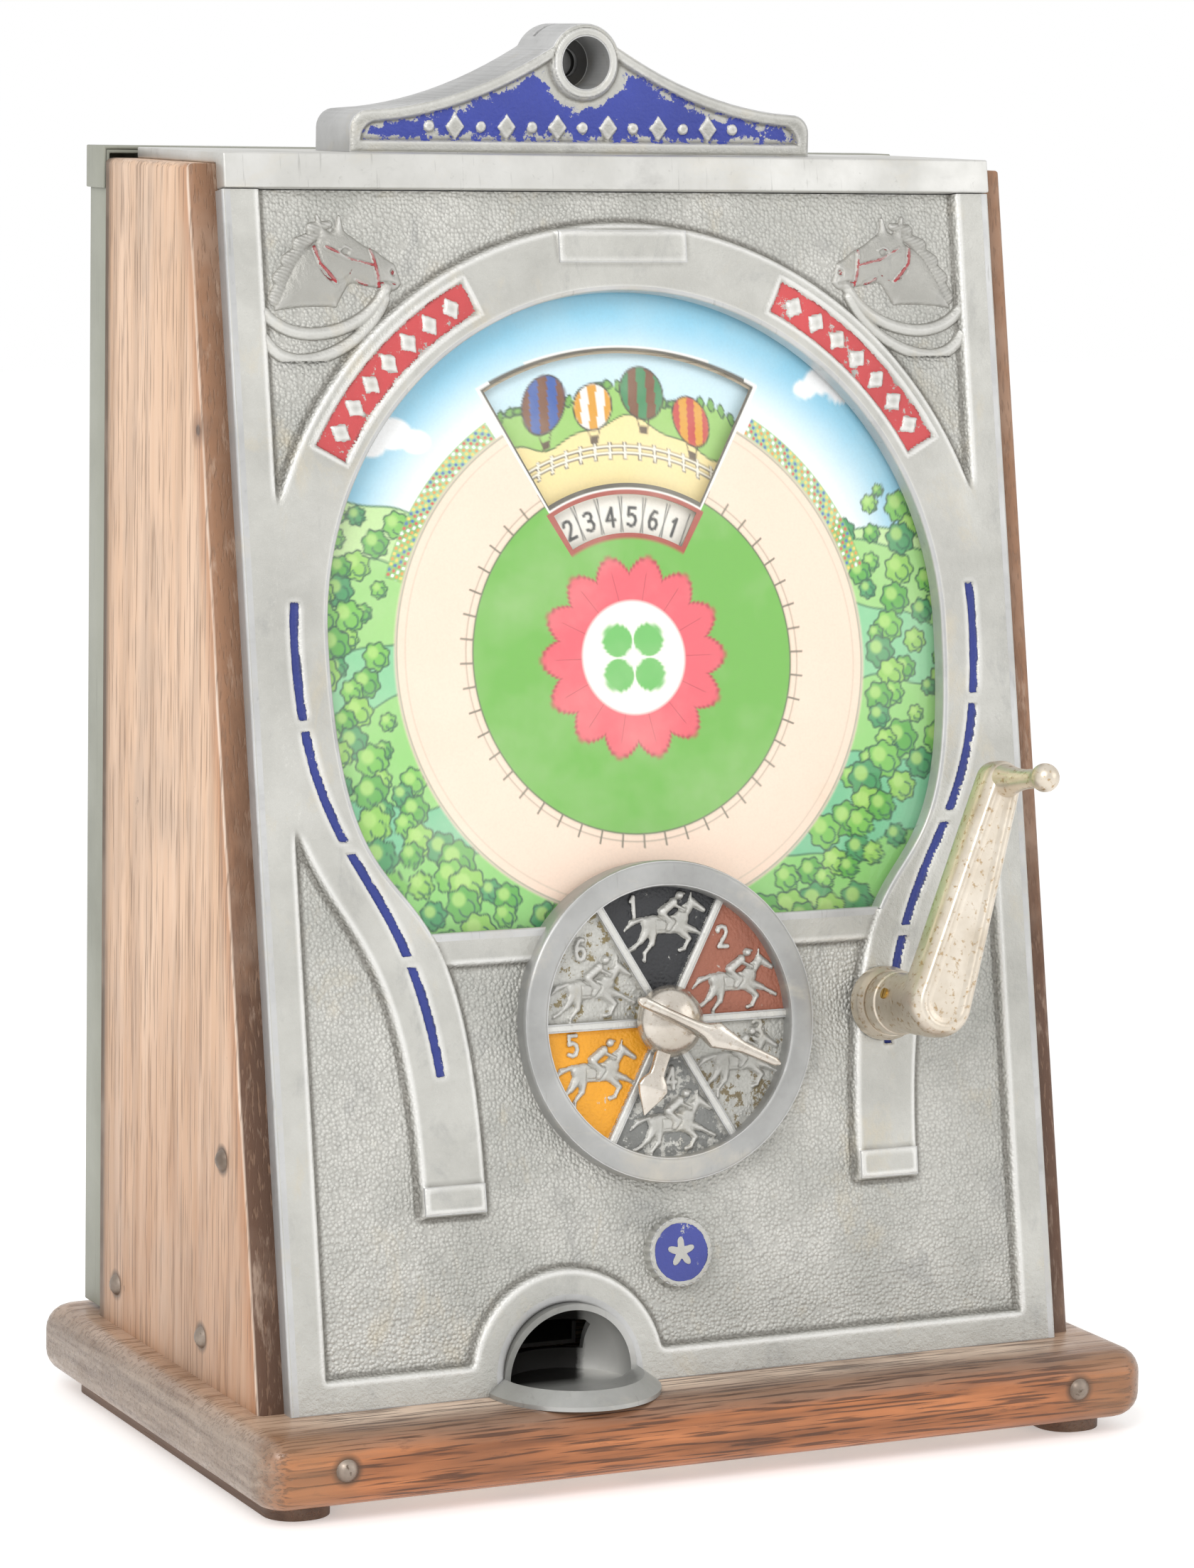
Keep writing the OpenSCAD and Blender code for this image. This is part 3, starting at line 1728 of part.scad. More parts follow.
module lock_keeper() {
  reach = 7.5;
  tall = 34;
  color("darkgray") {
    translate([-inner_half, cam_y - 14, lock_z - tall / 2])
      cube([2, keeper_y + 2.5 - cam_y + 14, tall]);
    translate([-inner_half, keeper_y, lock_z - tall / 2])
      cube([reach, 2.5, tall]);
  }
}

base_board();
skid(-1);  // skid_left
skid(1);  // skid_right
base_screws();
side_board(-1);  // side_board_left
side_board(1);  // side_board_right
side_screws();
front_casting();
top_casting();
coin_head();
coin_cup();
dial_glass();
print_card();
glass_clips();
mechanism_plate();
mechanism_posts();
post_nuts();
disc_bush();
handle_bush();
shaft_bush();
selector_bush();
selector_spring();
detent_stud();
spring_anchor();
return_spring();
coin_chute();
payout_trough();
cash_box();
lock_keeper();
hinge_leaf_case();
hinge_pins();
handle_arm();
handle_collar();
handle_set_screw();
handle_shaft();
drive_sector();
drive_pinion();
drive_pawl();
reveal_disc();
disc_hub();
hub_nut();
drive_ratchet();
disc_arbor();
star_wheel();
arbor_collar();
detent_lever();
selector_pointer();
selector_shaft();
selector_wheel();
coin_trip();
trip_pin();
payout_flap();
flap_pin();
rear_door();
door_cap();
hinge_leaf_door();
lock_barrel();
lock_cam();
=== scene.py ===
# %% [markdown]
# A counter-top trade stimulator: an oak cabinet with a leaning cast aluminium front.
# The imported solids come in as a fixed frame. Most of them stay and get a finish, and
# the pieces that the eye goes to (front relief, handle, pointer, print) are worked out
# here as numpy surfaces that lie on those solids.

# %% Load the frame and keep its box
import json
import math
import bpy
import numpy as np
from mathutils import Matrix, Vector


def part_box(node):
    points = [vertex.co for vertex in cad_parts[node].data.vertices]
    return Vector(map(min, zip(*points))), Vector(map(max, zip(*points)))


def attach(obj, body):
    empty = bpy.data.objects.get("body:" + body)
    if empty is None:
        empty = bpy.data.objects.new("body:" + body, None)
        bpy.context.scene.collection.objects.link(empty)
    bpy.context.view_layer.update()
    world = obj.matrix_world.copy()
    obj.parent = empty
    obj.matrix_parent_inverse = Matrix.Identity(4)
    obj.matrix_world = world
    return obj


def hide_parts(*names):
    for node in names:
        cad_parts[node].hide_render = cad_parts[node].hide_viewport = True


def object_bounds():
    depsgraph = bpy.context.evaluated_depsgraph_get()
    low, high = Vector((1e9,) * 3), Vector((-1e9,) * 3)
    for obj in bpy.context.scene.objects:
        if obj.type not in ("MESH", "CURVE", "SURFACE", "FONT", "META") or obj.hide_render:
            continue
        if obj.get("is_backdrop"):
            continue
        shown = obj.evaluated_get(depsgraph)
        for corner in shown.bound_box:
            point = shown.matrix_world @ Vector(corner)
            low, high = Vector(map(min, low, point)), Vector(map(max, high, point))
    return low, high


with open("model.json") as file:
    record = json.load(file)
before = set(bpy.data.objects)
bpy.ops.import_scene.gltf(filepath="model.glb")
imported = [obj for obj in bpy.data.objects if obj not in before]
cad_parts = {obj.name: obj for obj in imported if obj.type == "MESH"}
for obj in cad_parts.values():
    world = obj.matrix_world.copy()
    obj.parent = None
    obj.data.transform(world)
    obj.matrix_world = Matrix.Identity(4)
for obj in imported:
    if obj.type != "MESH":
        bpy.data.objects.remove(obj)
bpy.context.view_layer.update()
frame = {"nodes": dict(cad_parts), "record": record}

# %% [markdown]
# The front leans back by ten degrees, so its pieces are drawn in the front's own
# measures: u to the right, v up the slope and w out of the face, in millimetres. One
# function turns these into the room's metres, and nothing else has to know the lean.

# %% Frames of measure
MM = 0.001
LEAN = math.radians(10)
BASE_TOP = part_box("base_board")[1][2] / MM
FOOT_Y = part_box("base_board")[0][1] / MM + 31.0


def front(u, v, w):
    """u right, v up the slope, w outwards (mm) to room metres.

    y = foot + v sin - w cos, z = base + v cos + w sin
    """
    u, v, w = np.broadcast_arrays(*(np.asarray(a, float) for a in (u, v, w)))
    y = FOOT_Y + v * math.sin(LEAN) - w * math.cos(LEAN)
    z = BASE_TOP + v * math.cos(LEAN) + w * math.sin(LEAN)
    return np.stack([u, y, z], -1) * MM


print("foot of the front at y", round(FOOT_Y, 2), "mm, base top at", round(BASE_TOP, 2), "mm")

# %% [markdown]
# A Blender mesh can be filled face by face, but a whole array at once is shorter and
# far quicker. Every new piece is a grid of points, and quad (i, j) joins a point to its
# next neighbours both ways. A grid can wrap round, lose some of its quads, and close
# its first or last row with a fan of triangles. Edges sharper than an angle stay crisp.


# %% From a grid of points to a mesh
def surface(name, grid, wrap=False, keep=None, fans=(), outward=None, sharp=38):
    """Grid (m, n, 3) to an object: quad (i, j) joins points i n + j, (i + 1) n + j and their next neighbours.

    wrap joins the last column to the first, fans lists rows (0 or -1) to close, and outward is a direction
    that open faces look to.
    """
    m, n = grid.shape[:2]
    i, j = np.meshgrid(np.arange(m - 1), np.arange(n if wrap else n - 1), indexing="ij")
    i2, j2 = i + 1, (j + 1) % n
    quads = np.stack([i * n + j, i2 * n + j, i2 * n + j2, i * n + j2], -1).reshape(-1, 4)
    if keep is not None:
        quads = quads[keep.reshape(-1)]
    points = grid.reshape(-1, 3)
    corners = [quads.reshape(-1)]
    sizes = [np.full(len(quads), 4)]
    for row in fans:
        ring = (row % m) * n + np.arange(n)
        if row == 0:
            ring = ring[::-1]
        points = np.vstack([points, points[ring].mean(0)])
        tri = np.stack([ring, np.full(n, len(points) - 1), np.roll(ring, -1)], -1)[:, ::-1]
        corners.append(tri.reshape(-1))
        sizes.append(np.full(n, 3))
    return mesh_object(name, points, np.concatenate(corners), np.concatenate(sizes), outward, sharp)


def mesh_object(name, points, corners, sizes, outward, sharp):
    """Flat arrays of points, corner indices and face sizes to an object whose faces look out."""
    used, corners = np.unique(corners, return_inverse=True)
    points = points[used]
    starts = np.concatenate([[0], np.cumsum(sizes)[:-1]])
    a, b, c = (points[corners[starts + k]] for k in range(3))
    d = points[corners[starts + sizes - 1]]
    normal = np.cross(b - a, c - a) + np.cross(c - a, d - a)
    middle = (a + b + c) / 3 - points.mean(0)
    lean = (normal * (middle if outward is None else np.asarray(outward, float))).sum()
    mesh = bpy.data.meshes.new(name)
    mesh.vertices.add(len(points))
    mesh.vertices.foreach_set("co", points.astype(np.float32).reshape(-1))
    if lean < 0:
        last = np.repeat(starts + sizes - 1, sizes)
        corners = corners[last - (np.arange(len(corners)) - np.repeat(starts, sizes))]
    mesh.loops.add(len(corners))
    mesh.loops.foreach_set("vertex_index", corners.astype(np.int32))
    mesh.polygons.add(len(sizes))
    mesh.polygons.foreach_set("loop_start", starts.astype(np.int32))
    mesh.update(calc_edges=True)
    mesh.validate()
    mesh.shade_smooth()
    mesh.set_sharp_from_angle(angle=math.radians(sharp))
    obj = bpy.data.objects.new(name, mesh)
    bpy.context.scene.collection.objects.link(obj)
    return obj


print("a grid can wrap round, lose some quads and close with fans")

# %% [markdown]
# A piece can carry colours on its points, which its finish reads, and several grids can
# become one piece. Each piece then rides on a body of the part, so that it follows its
# joint, and gets its finish.


# %% Colours on points, joining and settling
def paint_points(obj, name, rgba):
    """Writes one colour per point (values 0 to 1, as data) to the mesh as an attribute."""
    layer = obj.data.attributes.new(name, "FLOAT_COLOR", "POINT")
    layer.data.foreach_set("color", np.ascontiguousarray(rgba, np.float32).reshape(-1))


def join_grids(name, grids, outward):
    """Several grids to one object: each is made by surface() and their meshes are put together."""
    parts = [surface(f"{name}.{k}", g, outward=outward) for k, g in enumerate(grids)]
    with bpy.context.temp_override(active_object=parts[0], selected_editable_objects=parts):
        bpy.ops.object.join()
    parts[0].name = name
    parts[0].data.name = name
    return parts[0]


def settle(obj, body, slot, material, *stands_for):
    """The piece rides on a body, gets its finish and may stand for CAD nodes; the slot is not used."""
    obj.data.materials.clear()
    obj.data.materials.append(material)
    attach(obj, body)
    if stands_for:
        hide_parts(*stands_for)
    print(obj.name, len(obj.data.polygons), "faces on", body)
    return obj


# %% [markdown]
# Cast edges are never sharp. A profile is written as a few corner points, and this
# helper puts a small arc in place of each corner. Turning a profile about an axis or
# carrying it along a path then gives the soft edge that catches the light.


# %% Profiles: rounding, turning and carrying
def soften(points, radius, steps=5):
    """Corners of an open line become arcs: (1 - t)^2 start + 2 t (1 - t) corner + t^2 end."""
    p = np.asarray(points, float)
    t = np.linspace(0, 1, steps)[:, None]
    rows = [p[:1]]
    for before, at, after in zip(p[:-2], p[1:-1], p[2:]):
        back, on = before - at, after - at
        cut = min(radius, 0.48 * np.linalg.norm(back), 0.48 * np.linalg.norm(on))
        start = at + back / np.linalg.norm(back) * cut
        end = at + on / np.linalg.norm(on) * cut
        rows.append((1 - t) ** 2 * start + 2 * t * (1 - t) * at + t ** 2 * end)
    rows.append(p[-1:])
    return np.vstack(rows)


def turned(profile, u, v, steps):
    """Profile (r, w) turned about an axis square to the front: (u + r cos a, v + r sin a, w)."""
    a = np.linspace(0, 2 * math.pi, steps, endpoint=False)
    r, w = profile[:, :1], profile[:, 1:]
    return front(u + r * np.cos(a), v + r * np.sin(a), w + 0 * a)


def carried(profile, path, side):
    """Profile (n, w) carried along a path (u, v) on the front; n runs along side, for all points or each."""
    side = np.broadcast_to(side, path.shape)
    n, w = profile[:, :1], profile[:, 1:]
    return front(path[:, 0] + n * side[:, 0], path[:, 1] + n * side[:, 1], w + 0 * path[:, 0])


def left_of(path):
    """Unit vectors to the left of a path's own direction."""
    way = np.gradient(path, axis=0)
    way /= np.linalg.norm(way, axis=1)[:, None]
    return np.stack([-way[:, 1], way[:, 0]], 1)


print("profile of a softened step has", len(soften([[0, 0], [2, 0], [2, -3]], 1)), "points")

# %% [markdown]
# Finishes come before the pieces, so that each piece can take its own straight away.
# One function adds a node, sets it up and links it; one turns a written sRGB colour
# into the linear value that a socket wants. Pattern scales are given as real sizes.
# A finish is then a short table of layers: each row lays a colour over those before it,
# where a pattern rises from a start to a full value.


# %% Small helpers for finishes
def rgb(code):
    """sRGB hex to linear rgba."""
    c = np.array([int(code[k:k + 2], 16) for k in (1, 3, 5)]) / 255
    c = np.where(c <= 0.04045, c / 12.92, ((c + 0.055) / 1.055) ** 2.4)
    return (*c.tolist(), 1.0)


def tint(code):
    """sRGB hex to linear rgb, as an array for grids of colour."""
    return np.array(rgb(code)[:3])


def add(tree, kind, settings=None, links=None):
    """Adds one node: settings are its properties, links go from its inputs to values or to other sockets."""
    node = tree.nodes.new(kind)
    for key, value in (settings or {}).items():
        setattr(node, key, value)
    for key, value in (links or {}).items():
        if isinstance(value, bpy.types.NodeSocket):
            tree.links.new(value, node.inputs[key])
        else:
            node.inputs[key].default_value = value
    return node


def per(size_mm):
    """Texture scale that gives a pattern of that size in millimetres."""
    return 1.0 / (size_mm * MM)


def start(name):
    """A new material: its tree, its Principled shader and the Object coordinates."""
    material = bpy.data.materials.new(name)
    material.use_nodes = True
    tree = material.node_tree
    shader = tree.nodes["Principled BSDF"]
    where = add(tree, "ShaderNodeTexCoord").outputs["Object"]
    return material, tree, shader, where


print("one helper adds every node; a 2 mm pattern has scale", per(2))

# %% [markdown]
# The rest are the ways in which a finish is put together: a cloudy pattern of a real
# size, a distance, a mask where several things meet, the layers, and the end of every
# finish. Each stands for something to be seen and uses as many nodes as that takes.


# %% Patterns, masks and layers
def mottle(tree, where, size_mm, detail=4.0, rough=0.55, stretch=(1, 1, 1), twist=0.0):
    """A cloudy pattern of that grain size; stretch makes it longer along an axis."""
    links = {"Vector": where, "Scale": tuple(1 / s for s in stretch)}
    moved = add(tree, "ShaderNodeMapping", None, links).outputs[0]
    links = {"Vector": moved, "Scale": per(size_mm), "Detail": detail}
    links.update({"Roughness": rough, "Distortion": twist})
    return add(tree, "ShaderNodeTexNoise", None, links).outputs["Fac"]


def distance_from(tree, where, place, flat=(1, 1, 1)):
    """Distance in metres from a place, or from an axis through it along which flat is 0."""
    links = {"Vector": where, "Location": tuple(-p * f for p, f in zip(place, flat)), "Scale": flat}
    across = add(tree, "ShaderNodeMapping", None, links).outputs[0]
    return add(tree, "ShaderNodeVectorMath", {"operation": "LENGTH"}, {0: across}).outputs["Value"]


def overlap(tree, *ramps):
    """Mask where several ramps meet: each is (value, low, high) and goes from 0 at low to 1 at high."""
    mask = 1.0
    for value, low, high in ramps:
        ramp = add(tree, "ShaderNodeMapRange", {"clamp": True}, {0: value, 1: low, 2: high}).outputs[0]
        mask = add(tree, "ShaderNodeMath", {"operation": "MULTIPLY"}, {0: mask, 1: ramp}).outputs[0]
    return mask


def layered(tree, tone, rows):
    """Colours over a tone: a row is a mask, where it starts, where it is full, an amount and a colour."""
    for mask, begin, full, amount, colour in rows:
        links = {0: mask, 1: begin, 2: full, 3: 0.0, 4: amount}
        cover = add(tree, "ShaderNodeMapRange", {"clamp": True}, links).outputs[0]
        links = {0: cover, 6: tone, 7: rgb(colour) if isinstance(colour, str) else colour}
        tone = add(tree, "ShaderNodeMix", {"data_type": "RGBA"}, links).outputs[2]
    return tone


def laid_on(material, rows_for):
    """Lays more colour on a finished material, by a function that gives the rows."""
    tree = material.node_tree
    socket = tree.nodes["Principled BSDF"].inputs["Base Color"]
    where = add(tree, "ShaderNodeTexCoord").outputs["Object"]
    tree.links.new(layered(tree, socket.links[0].from_socket, rows_for(tree, where)), socket)
    return material


def finished(tree, shader, tone, gloss, height, depth_mm):
    """Ends a finish: its colour, its roughness and its fine height, so many millimetres deep.

    gloss is a mask, the two values between which it counts, and the roughness at each of them.
    """
    ramp = dict(enumerate(gloss))
    rough = add(tree, "ShaderNodeMapRange", {"clamp": True}, ramp).outputs[0]
    links = {"Height": height, "Distance": depth_mm * MM, "Strength": 1.0}
    bump = add(tree, "ShaderNodeBump", None, links).outputs[0]
    for socket, value in (("Base Color", tone), ("Roughness", rough), ("Normal", bump)):
        tree.links.new(value, shader.inputs[socket])


print("a finish is built from patterns, distances, overlaps and layers")

# %% [markdown]
# Sand-cast aluminium, left bare and handled for decades: a pale warm grey that is far
# from a mirror, with dull oxide clouds, fine scratches and dirt that stays in hollows.
# Every casting gets its own tone of it by the first two colours.


# %% Aluminium
def cast_aluminium(name, light="#c6c6c5", dark="#b0b0af", rough=0.45):
    """Bare cast aluminium with oxide clouds about 40 mm wide and a skin of fine pits."""
    material, tree, shader, where = start(name)
    cloud = mottle(tree, where, 42, 5, 0.6)
    speck = mottle(tree, where, 2.4, 4, 0.7)
    stain = mottle(tree, where, 26, 6, 0.7, (2, 1, 1), 0.4)
    scratch = mottle(tree, where, 1.6, 2, 0.5, (1, 4, 11))
    tone = layered(tree, rgb(light), [
        (cloud, 0.36, 0.66, 1, dark),
        (stain, 0.54, 0.72, 0.5, "#cbc3b2"),
        (stain, 0.44, 0.34, 0.35, "#9c9b98"),
        (scratch, 0.66, 0.74, 0.35, "#8c8a86"),
        (speck, 0.62, 0.8, 0.45, "#8e8c88"),
    ])
    shader.inputs["Metallic"].default_value = 0.6
    finished(tree, shader, tone, (cloud, 0.3, 0.7, rough - 0.06, rough + 0.12), speck, 0.06)
    return material


cast_bare = cast_aluminium("cast_aluminium_bare")
cast_rail = cast_aluminium("cast_aluminium_rail", "#d2d1cd", "#bdbcb7", 0.42)
cast_ring = cast_aluminium("cast_aluminium_ring", "#b0b0ae", "#969694", 0.42)
print("made", cast_bare.name, cast_rail.name, cast_ring.name)

# %% [markdown]
# The same metal is reeded on the coin head's sloping top, painted near black as shade in
# the coin's bore, and painted dark as shade deep inside the cup, where a painted light keeps
# the right-hand wall bright. Reeds this fine are a wave in the height; the painted shade and
# light are layers by place, so no piece has to be cut up for them.

# %% Reeds, and painted shade in the coin's bore and the cup
REED_MM, REED_DEEP_MM = 3.4, 0.35
HEAD_Y, HEAD_Z, BOSS_Z = FOOT_Y + 103.0, BASE_TOP + 431.0, 33.0
BORE_R = 9.4


def reeded(material):
    """Adds reeds to what looks up: the head's sloping top was cast with them, front to back."""
    tree = material.node_tree
    where = add(tree, "ShaderNodeTexCoord").outputs["Object"]
    normal = add(tree, "ShaderNodeNewGeometry").outputs["Normal"]
    across = add(tree, "ShaderNodeSeparateXYZ", None, {0: where}).outputs[0]
    facing = add(tree, "ShaderNodeSeparateXYZ", None, {0: normal}).outputs[2]
    links = {0: across, 1: 2 * math.pi / (REED_MM * MM)}
    phase = add(tree, "ShaderNodeMath", {"operation": "MULTIPLY"}, links).outputs[0]
    wave = add(tree, "ShaderNodeMath", {"operation": "SINE"}, {0: phase}).outputs[0]
    links = {0: wave, 1: overlap(tree, (facing, 0.3, 0.6))}
    height = add(tree, "ShaderNodeMath", {"operation": "MULTIPLY"}, links).outputs[0]
    links = {"Height": height, "Distance": REED_DEEP_MM * MM, "Strength": 1.0}
    bump = add(tree, "ShaderNodeBump", None, links).outputs[0]
    tree.links.new(bump, tree.nodes["Principled BSDF"].inputs["Normal"])
    return material


def coin_bore_painted_shade(tree, where):
    """The coin's bore, near an axis along y, is painted near black as its shade."""
    reach = distance_from(tree, where, (0, 0, (HEAD_Z + BOSS_Z) * MM), (1, 0, 1))
    return [(reach, (BORE_R + 0.1) * MM, (BORE_R - 0.25) * MM, 0.94, "#1f1d1b")]


def cup_painted_shade_and_light(tree, where):
    """Painted shade behind the front, deeper and further left first; a painted light keeps the right-hand
    wall bright.
    """
    side, depth = add(tree, "ShaderNodeSeparateXYZ", None, {0: where}).outputs[:2]
    foot = FOOT_Y * MM
    inside = depth
    for value, amount in ((mottle(tree, where, 6, 4, 0.6), 0.008), (side, -2.0)):
        links = {0: value, 1: amount, 2: inside}
        inside = add(tree, "ShaderNodeMath", {"operation": "MULTIPLY_ADD"}, links).outputs[0]
    behind = (depth, foot - 0.002, foot + 0.008)
    painted_shade_inside = overlap(tree, (inside, foot + 0.086, foot + 0.093), behind)
    painted_light_on_right_wall = overlap(tree, (side, -0.040, -0.026), behind)
    # painted light on the cup's right-hand wall, and painted shade deep inside the cup
    return [(painted_light_on_right_wall, 0, 1, 0.85, "#f1f0ec"), (painted_shade_inside, 0, 1, 0.98, "#161412")]


cast_cup = laid_on(cast_aluminium("cast_aluminium_cup", "#b2b2af", "#969692", 0.38), cup_painted_shade_and_light)
cast_reeded = laid_on(reeded(cast_aluminium("cast_aluminium_reeded")), coin_bore_painted_shade)
print("made", cast_cup.name, cast_reeded.name)

# %% [markdown]
# The front casting carries paint too: red and blue in recesses and six coloured fields
# on the dial. The relief below writes two colours on each point, one for the paint and
# how much of it is there, one for stipple, painted highlights on edges and painted shade,
# with dirt, in hollows. The finish reads both, breaks the paint up where it has chipped,
# and roughens the stippled field.

# %% Painted and stippled aluminium
STIPPLE_MM = 1.4


def painted_casting():
    """Aluminium whose paint, stipple, edge wear with a painted highlight, and painted shade with grime come
    from the mesh's own attributes.
    """
    material, tree, shader, where = start("cast_aluminium_painted")
    paint = add(tree, "ShaderNodeAttribute", {"attribute_name": "paint"}).outputs
    detail = add(tree, "ShaderNodeAttribute", {"attribute_name": "detail"}).outputs["Color"]
    stipple, edge, shade_and_darkening = add(tree, "ShaderNodeSeparateColor", None, {0: detail}).outputs
    cloud = mottle(tree, where, 44, 5, 0.62)
    speck = mottle(tree, where, 2.2, 4, 0.7)
    stain = mottle(tree, where, 24, 6, 0.7, (1, 1, 1.6), 0.4)
    chips = mottle(tree, where, 5.5, 6, 0.74)
    links = {"Vector": where, "Scale": per(STIPPLE_MM), "Randomness": 0.8}
    cells = add(tree, "ShaderNodeTexVoronoi", {"feature": "F1"}, links).outputs["Distance"]
    pits = overlap(tree, (cells, 0.15, 0.75))
    field_rows = [(cloud, 0.38, 0.64, 1, "#b3b3ad"), (pits, 0.35, 1.0, 0.5, "#9f9d97")]
    field = layered(tree, rgb("#cccbc5"), field_rows)
    links = {0: paint["Alpha"], 1: 0.35, 2: chips}
    kept = add(tree, "ShaderNodeMath", {"operation": "MULTIPLY_ADD"}, links).outputs[0]
    cover = overlap(tree, (paint["Alpha"], 0.08, 0.2), (kept, 0.665, 0.69), (edge, 0.55, 0.25))
    links = {0: cloud, 1: 0.3, 2: 0.75, 3: 0.0, 4: 0.3}
    dim = add(tree, "ShaderNodeMapRange", {"clamp": True}, links).outputs[0]
    links = {0: dim, 6: paint["Color"], 7: rgb("#1c1a18")}
    colour = add(tree, "ShaderNodeMix", {"data_type": "RGBA", "blend_type": "MULTIPLY"}, links).outputs[2]
    tone = layered(tree, rgb("#c3c2bc"), [
        (cloud, 0.35, 0.68, 1, "#adaca6"),
        (stipple, 0, 1, 1, field),
        (stain, 0.56, 0.74, 0.5, "#c9bda3"),
        (stain, 0.43, 0.32, 0.45, "#989896"),
        (speck, 0.68, 0.84, 0.4, "#8a8782"),
        # painted highlight on raised edges; the same channel also takes paint off them as wear
        (edge, 0.08, 0.7, 0.5, "#f2f1ee"),
        # painted shade, with dirt, in hollows, and darker figures
        (shade_and_darkening, 0.08, 0.8, 0.62, "#66625a"),
        (cover, 0, 1, 1, colour),
    ])
    links = {0: cover, 1: 0, 2: 1, 3: 0.58, 4: 0.0}
    metallic = add(tree, "ShaderNodeMapRange", {"clamp": True}, links).outputs[0]
    tree.links.new(metallic, shader.inputs["Metallic"])
    links = {0: overlap(tree, (pits, 0, 1), (stipple, 0, 1)), 1: -1.0, 2: speck}
    height = add(tree, "ShaderNodeMath", {"operation": "MULTIPLY_ADD"}, links).outputs[0]
    finished(tree, shader, tone, (stipple, 0, 1, 0.42, 0.55), height, 0.5)
    return material


cast_painted = painted_casting()
print("made", cast_painted.name)

# %% [markdown]
# Oak that was stained and then worn pale. Long dark pores run with the grain, wider
# bands of early and late wood lie between them, and hands and damp have left grey and
# brown clouds. The grain's axis is a setting, because the boards lie different ways.


# %% Oak
def oak(name, axis, pale, deep, grime, pore="#7b5b45", gloss=0.5, change=None,
        open_pores=0.7, pores_from=0.57, last=None):
    """Oak: bands 8 mm wide, wandering growth rings 16 mm apart, pores 1 by 30 mm, stains 60 mm across."""
    material, tree, shader, where = start(name)
    long, longer, squeeze = [1.0] * 3, [1.0] * 3, [1.0] * 3
    long[axis], longer[axis], squeeze[axis] = 20.0, 32.0, 0.085
    bands = mottle(tree, where, 8, 4, 0.55, long, 0.6)
    fine = mottle(tree, where, 2.4, 3, 0.6, longer)
    pores = mottle(tree, where, 1.0, 2, 0.5, longer)
    streaks = mottle(tree, where, 5.0, 5, 0.7, long, 0.3)
    cloud = mottle(tree, where, 60, 4, 0.6)
    drawn = add(tree, "ShaderNodeMapping", None, {"Vector": where, "Scale": squeeze}).outputs[0]
    links = {"Vector": drawn, "Scale": 2 * math.pi / (20 * 16 * MM)}
    links.update({"Distortion": 17.0, "Detail": 4.0, "Detail Scale": 0.8})
    settings = {"bands_direction": "Y" if axis != 1 else "X"}
    rings = add(tree, "ShaderNodeTexWave", settings, links).outputs["Fac"]
    tone = layered(tree, rgb(pale), [
        (bands, 0.36, 0.66, 1, deep),
        (rings, 0.6, 0.97, 0.26, pore),
        (fine, 0.45, 0.7, 0.28, deep),
    ])
    if change:
        tone = change(tree, where, tone)
    tone = layered(tree, tone, [
        (cloud, 0.48, 0.72, 0.5, grime),
        (streaks, 0.57, 0.68, 0.45, grime),
        (pores, pores_from, pores_from + 0.1, open_pores, pore),
    ])
    if last:
        tone = last(tree, where, tone)
    links = {0: fine, 1: 0.5, 2: overlap(tree, (pores, 0.67, 0.55))}
    height = add(tree, "ShaderNodeMath", {"operation": "MULTIPLY_ADD"}, links).outputs[0]
    finished(tree, shader, tone, (bands, 0.3, 0.7, gloss - 0.06, gloss + 0.1), height, 0.18)
    return material


oak_skid = oak("oak_plain_depthwise", 1, "#7d6350", "#5c4537", "#4a3b30")
print("made", oak_skid.name)

# %% [markdown]
# Wood shows where it has been touched. The side boards are brown along the front edge
# and pale on its corner, darker at the foot, dented, and dark round the screws with
# painted shade and dirt; a painted shadow lies next to the front casting and along the
# rear door's gap, and one board has a knot. These are layers by place, given in metres
# of the room or up the slope of the front. A measure plus an amount of a pattern makes
# an edge that wanders.


# %% Wear on the side boards
def front_measures(tree, where):
    """Width, depth behind the front and height up the slope, in metres, for a point of the room."""
    links = {"Vector": where, "Location": (0, -FOOT_Y * MM, -BASE_TOP * MM)}
    moved = add(tree, "ShaderNodeMapping", None, links).outputs[0]
    local = add(tree, "ShaderNodeMapping", None, {"Vector": moved, "Rotation": (LEAN, 0, 0)}).outputs[0]
    return add(tree, "ShaderNodeSeparateXYZ", None, {0: local}).outputs


SIDE_LEFT, SIDE_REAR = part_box("side_board_left")[0][0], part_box("side_board_left")[1][1]
SIDE_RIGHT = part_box("side_board_right")[1][0]
KNOT = (SIDE_LEFT, -0.0063, 0.3668)
SIDE_SCREWS = ((41.5, 83.0), (144.5, 15.5), (60.0, 15.5))
SCREW_R = 4.0


def shade_and_dirt_round_screw(tree, where, place):
    """The row of a dark ring 2 mm wide round a screw's head: painted shade with grime."""
    return distance_from(tree, where, place), (SCREW_R + 2.3) * MM, (SCREW_R + 0.3) * MM, 0.85, "#33251a"


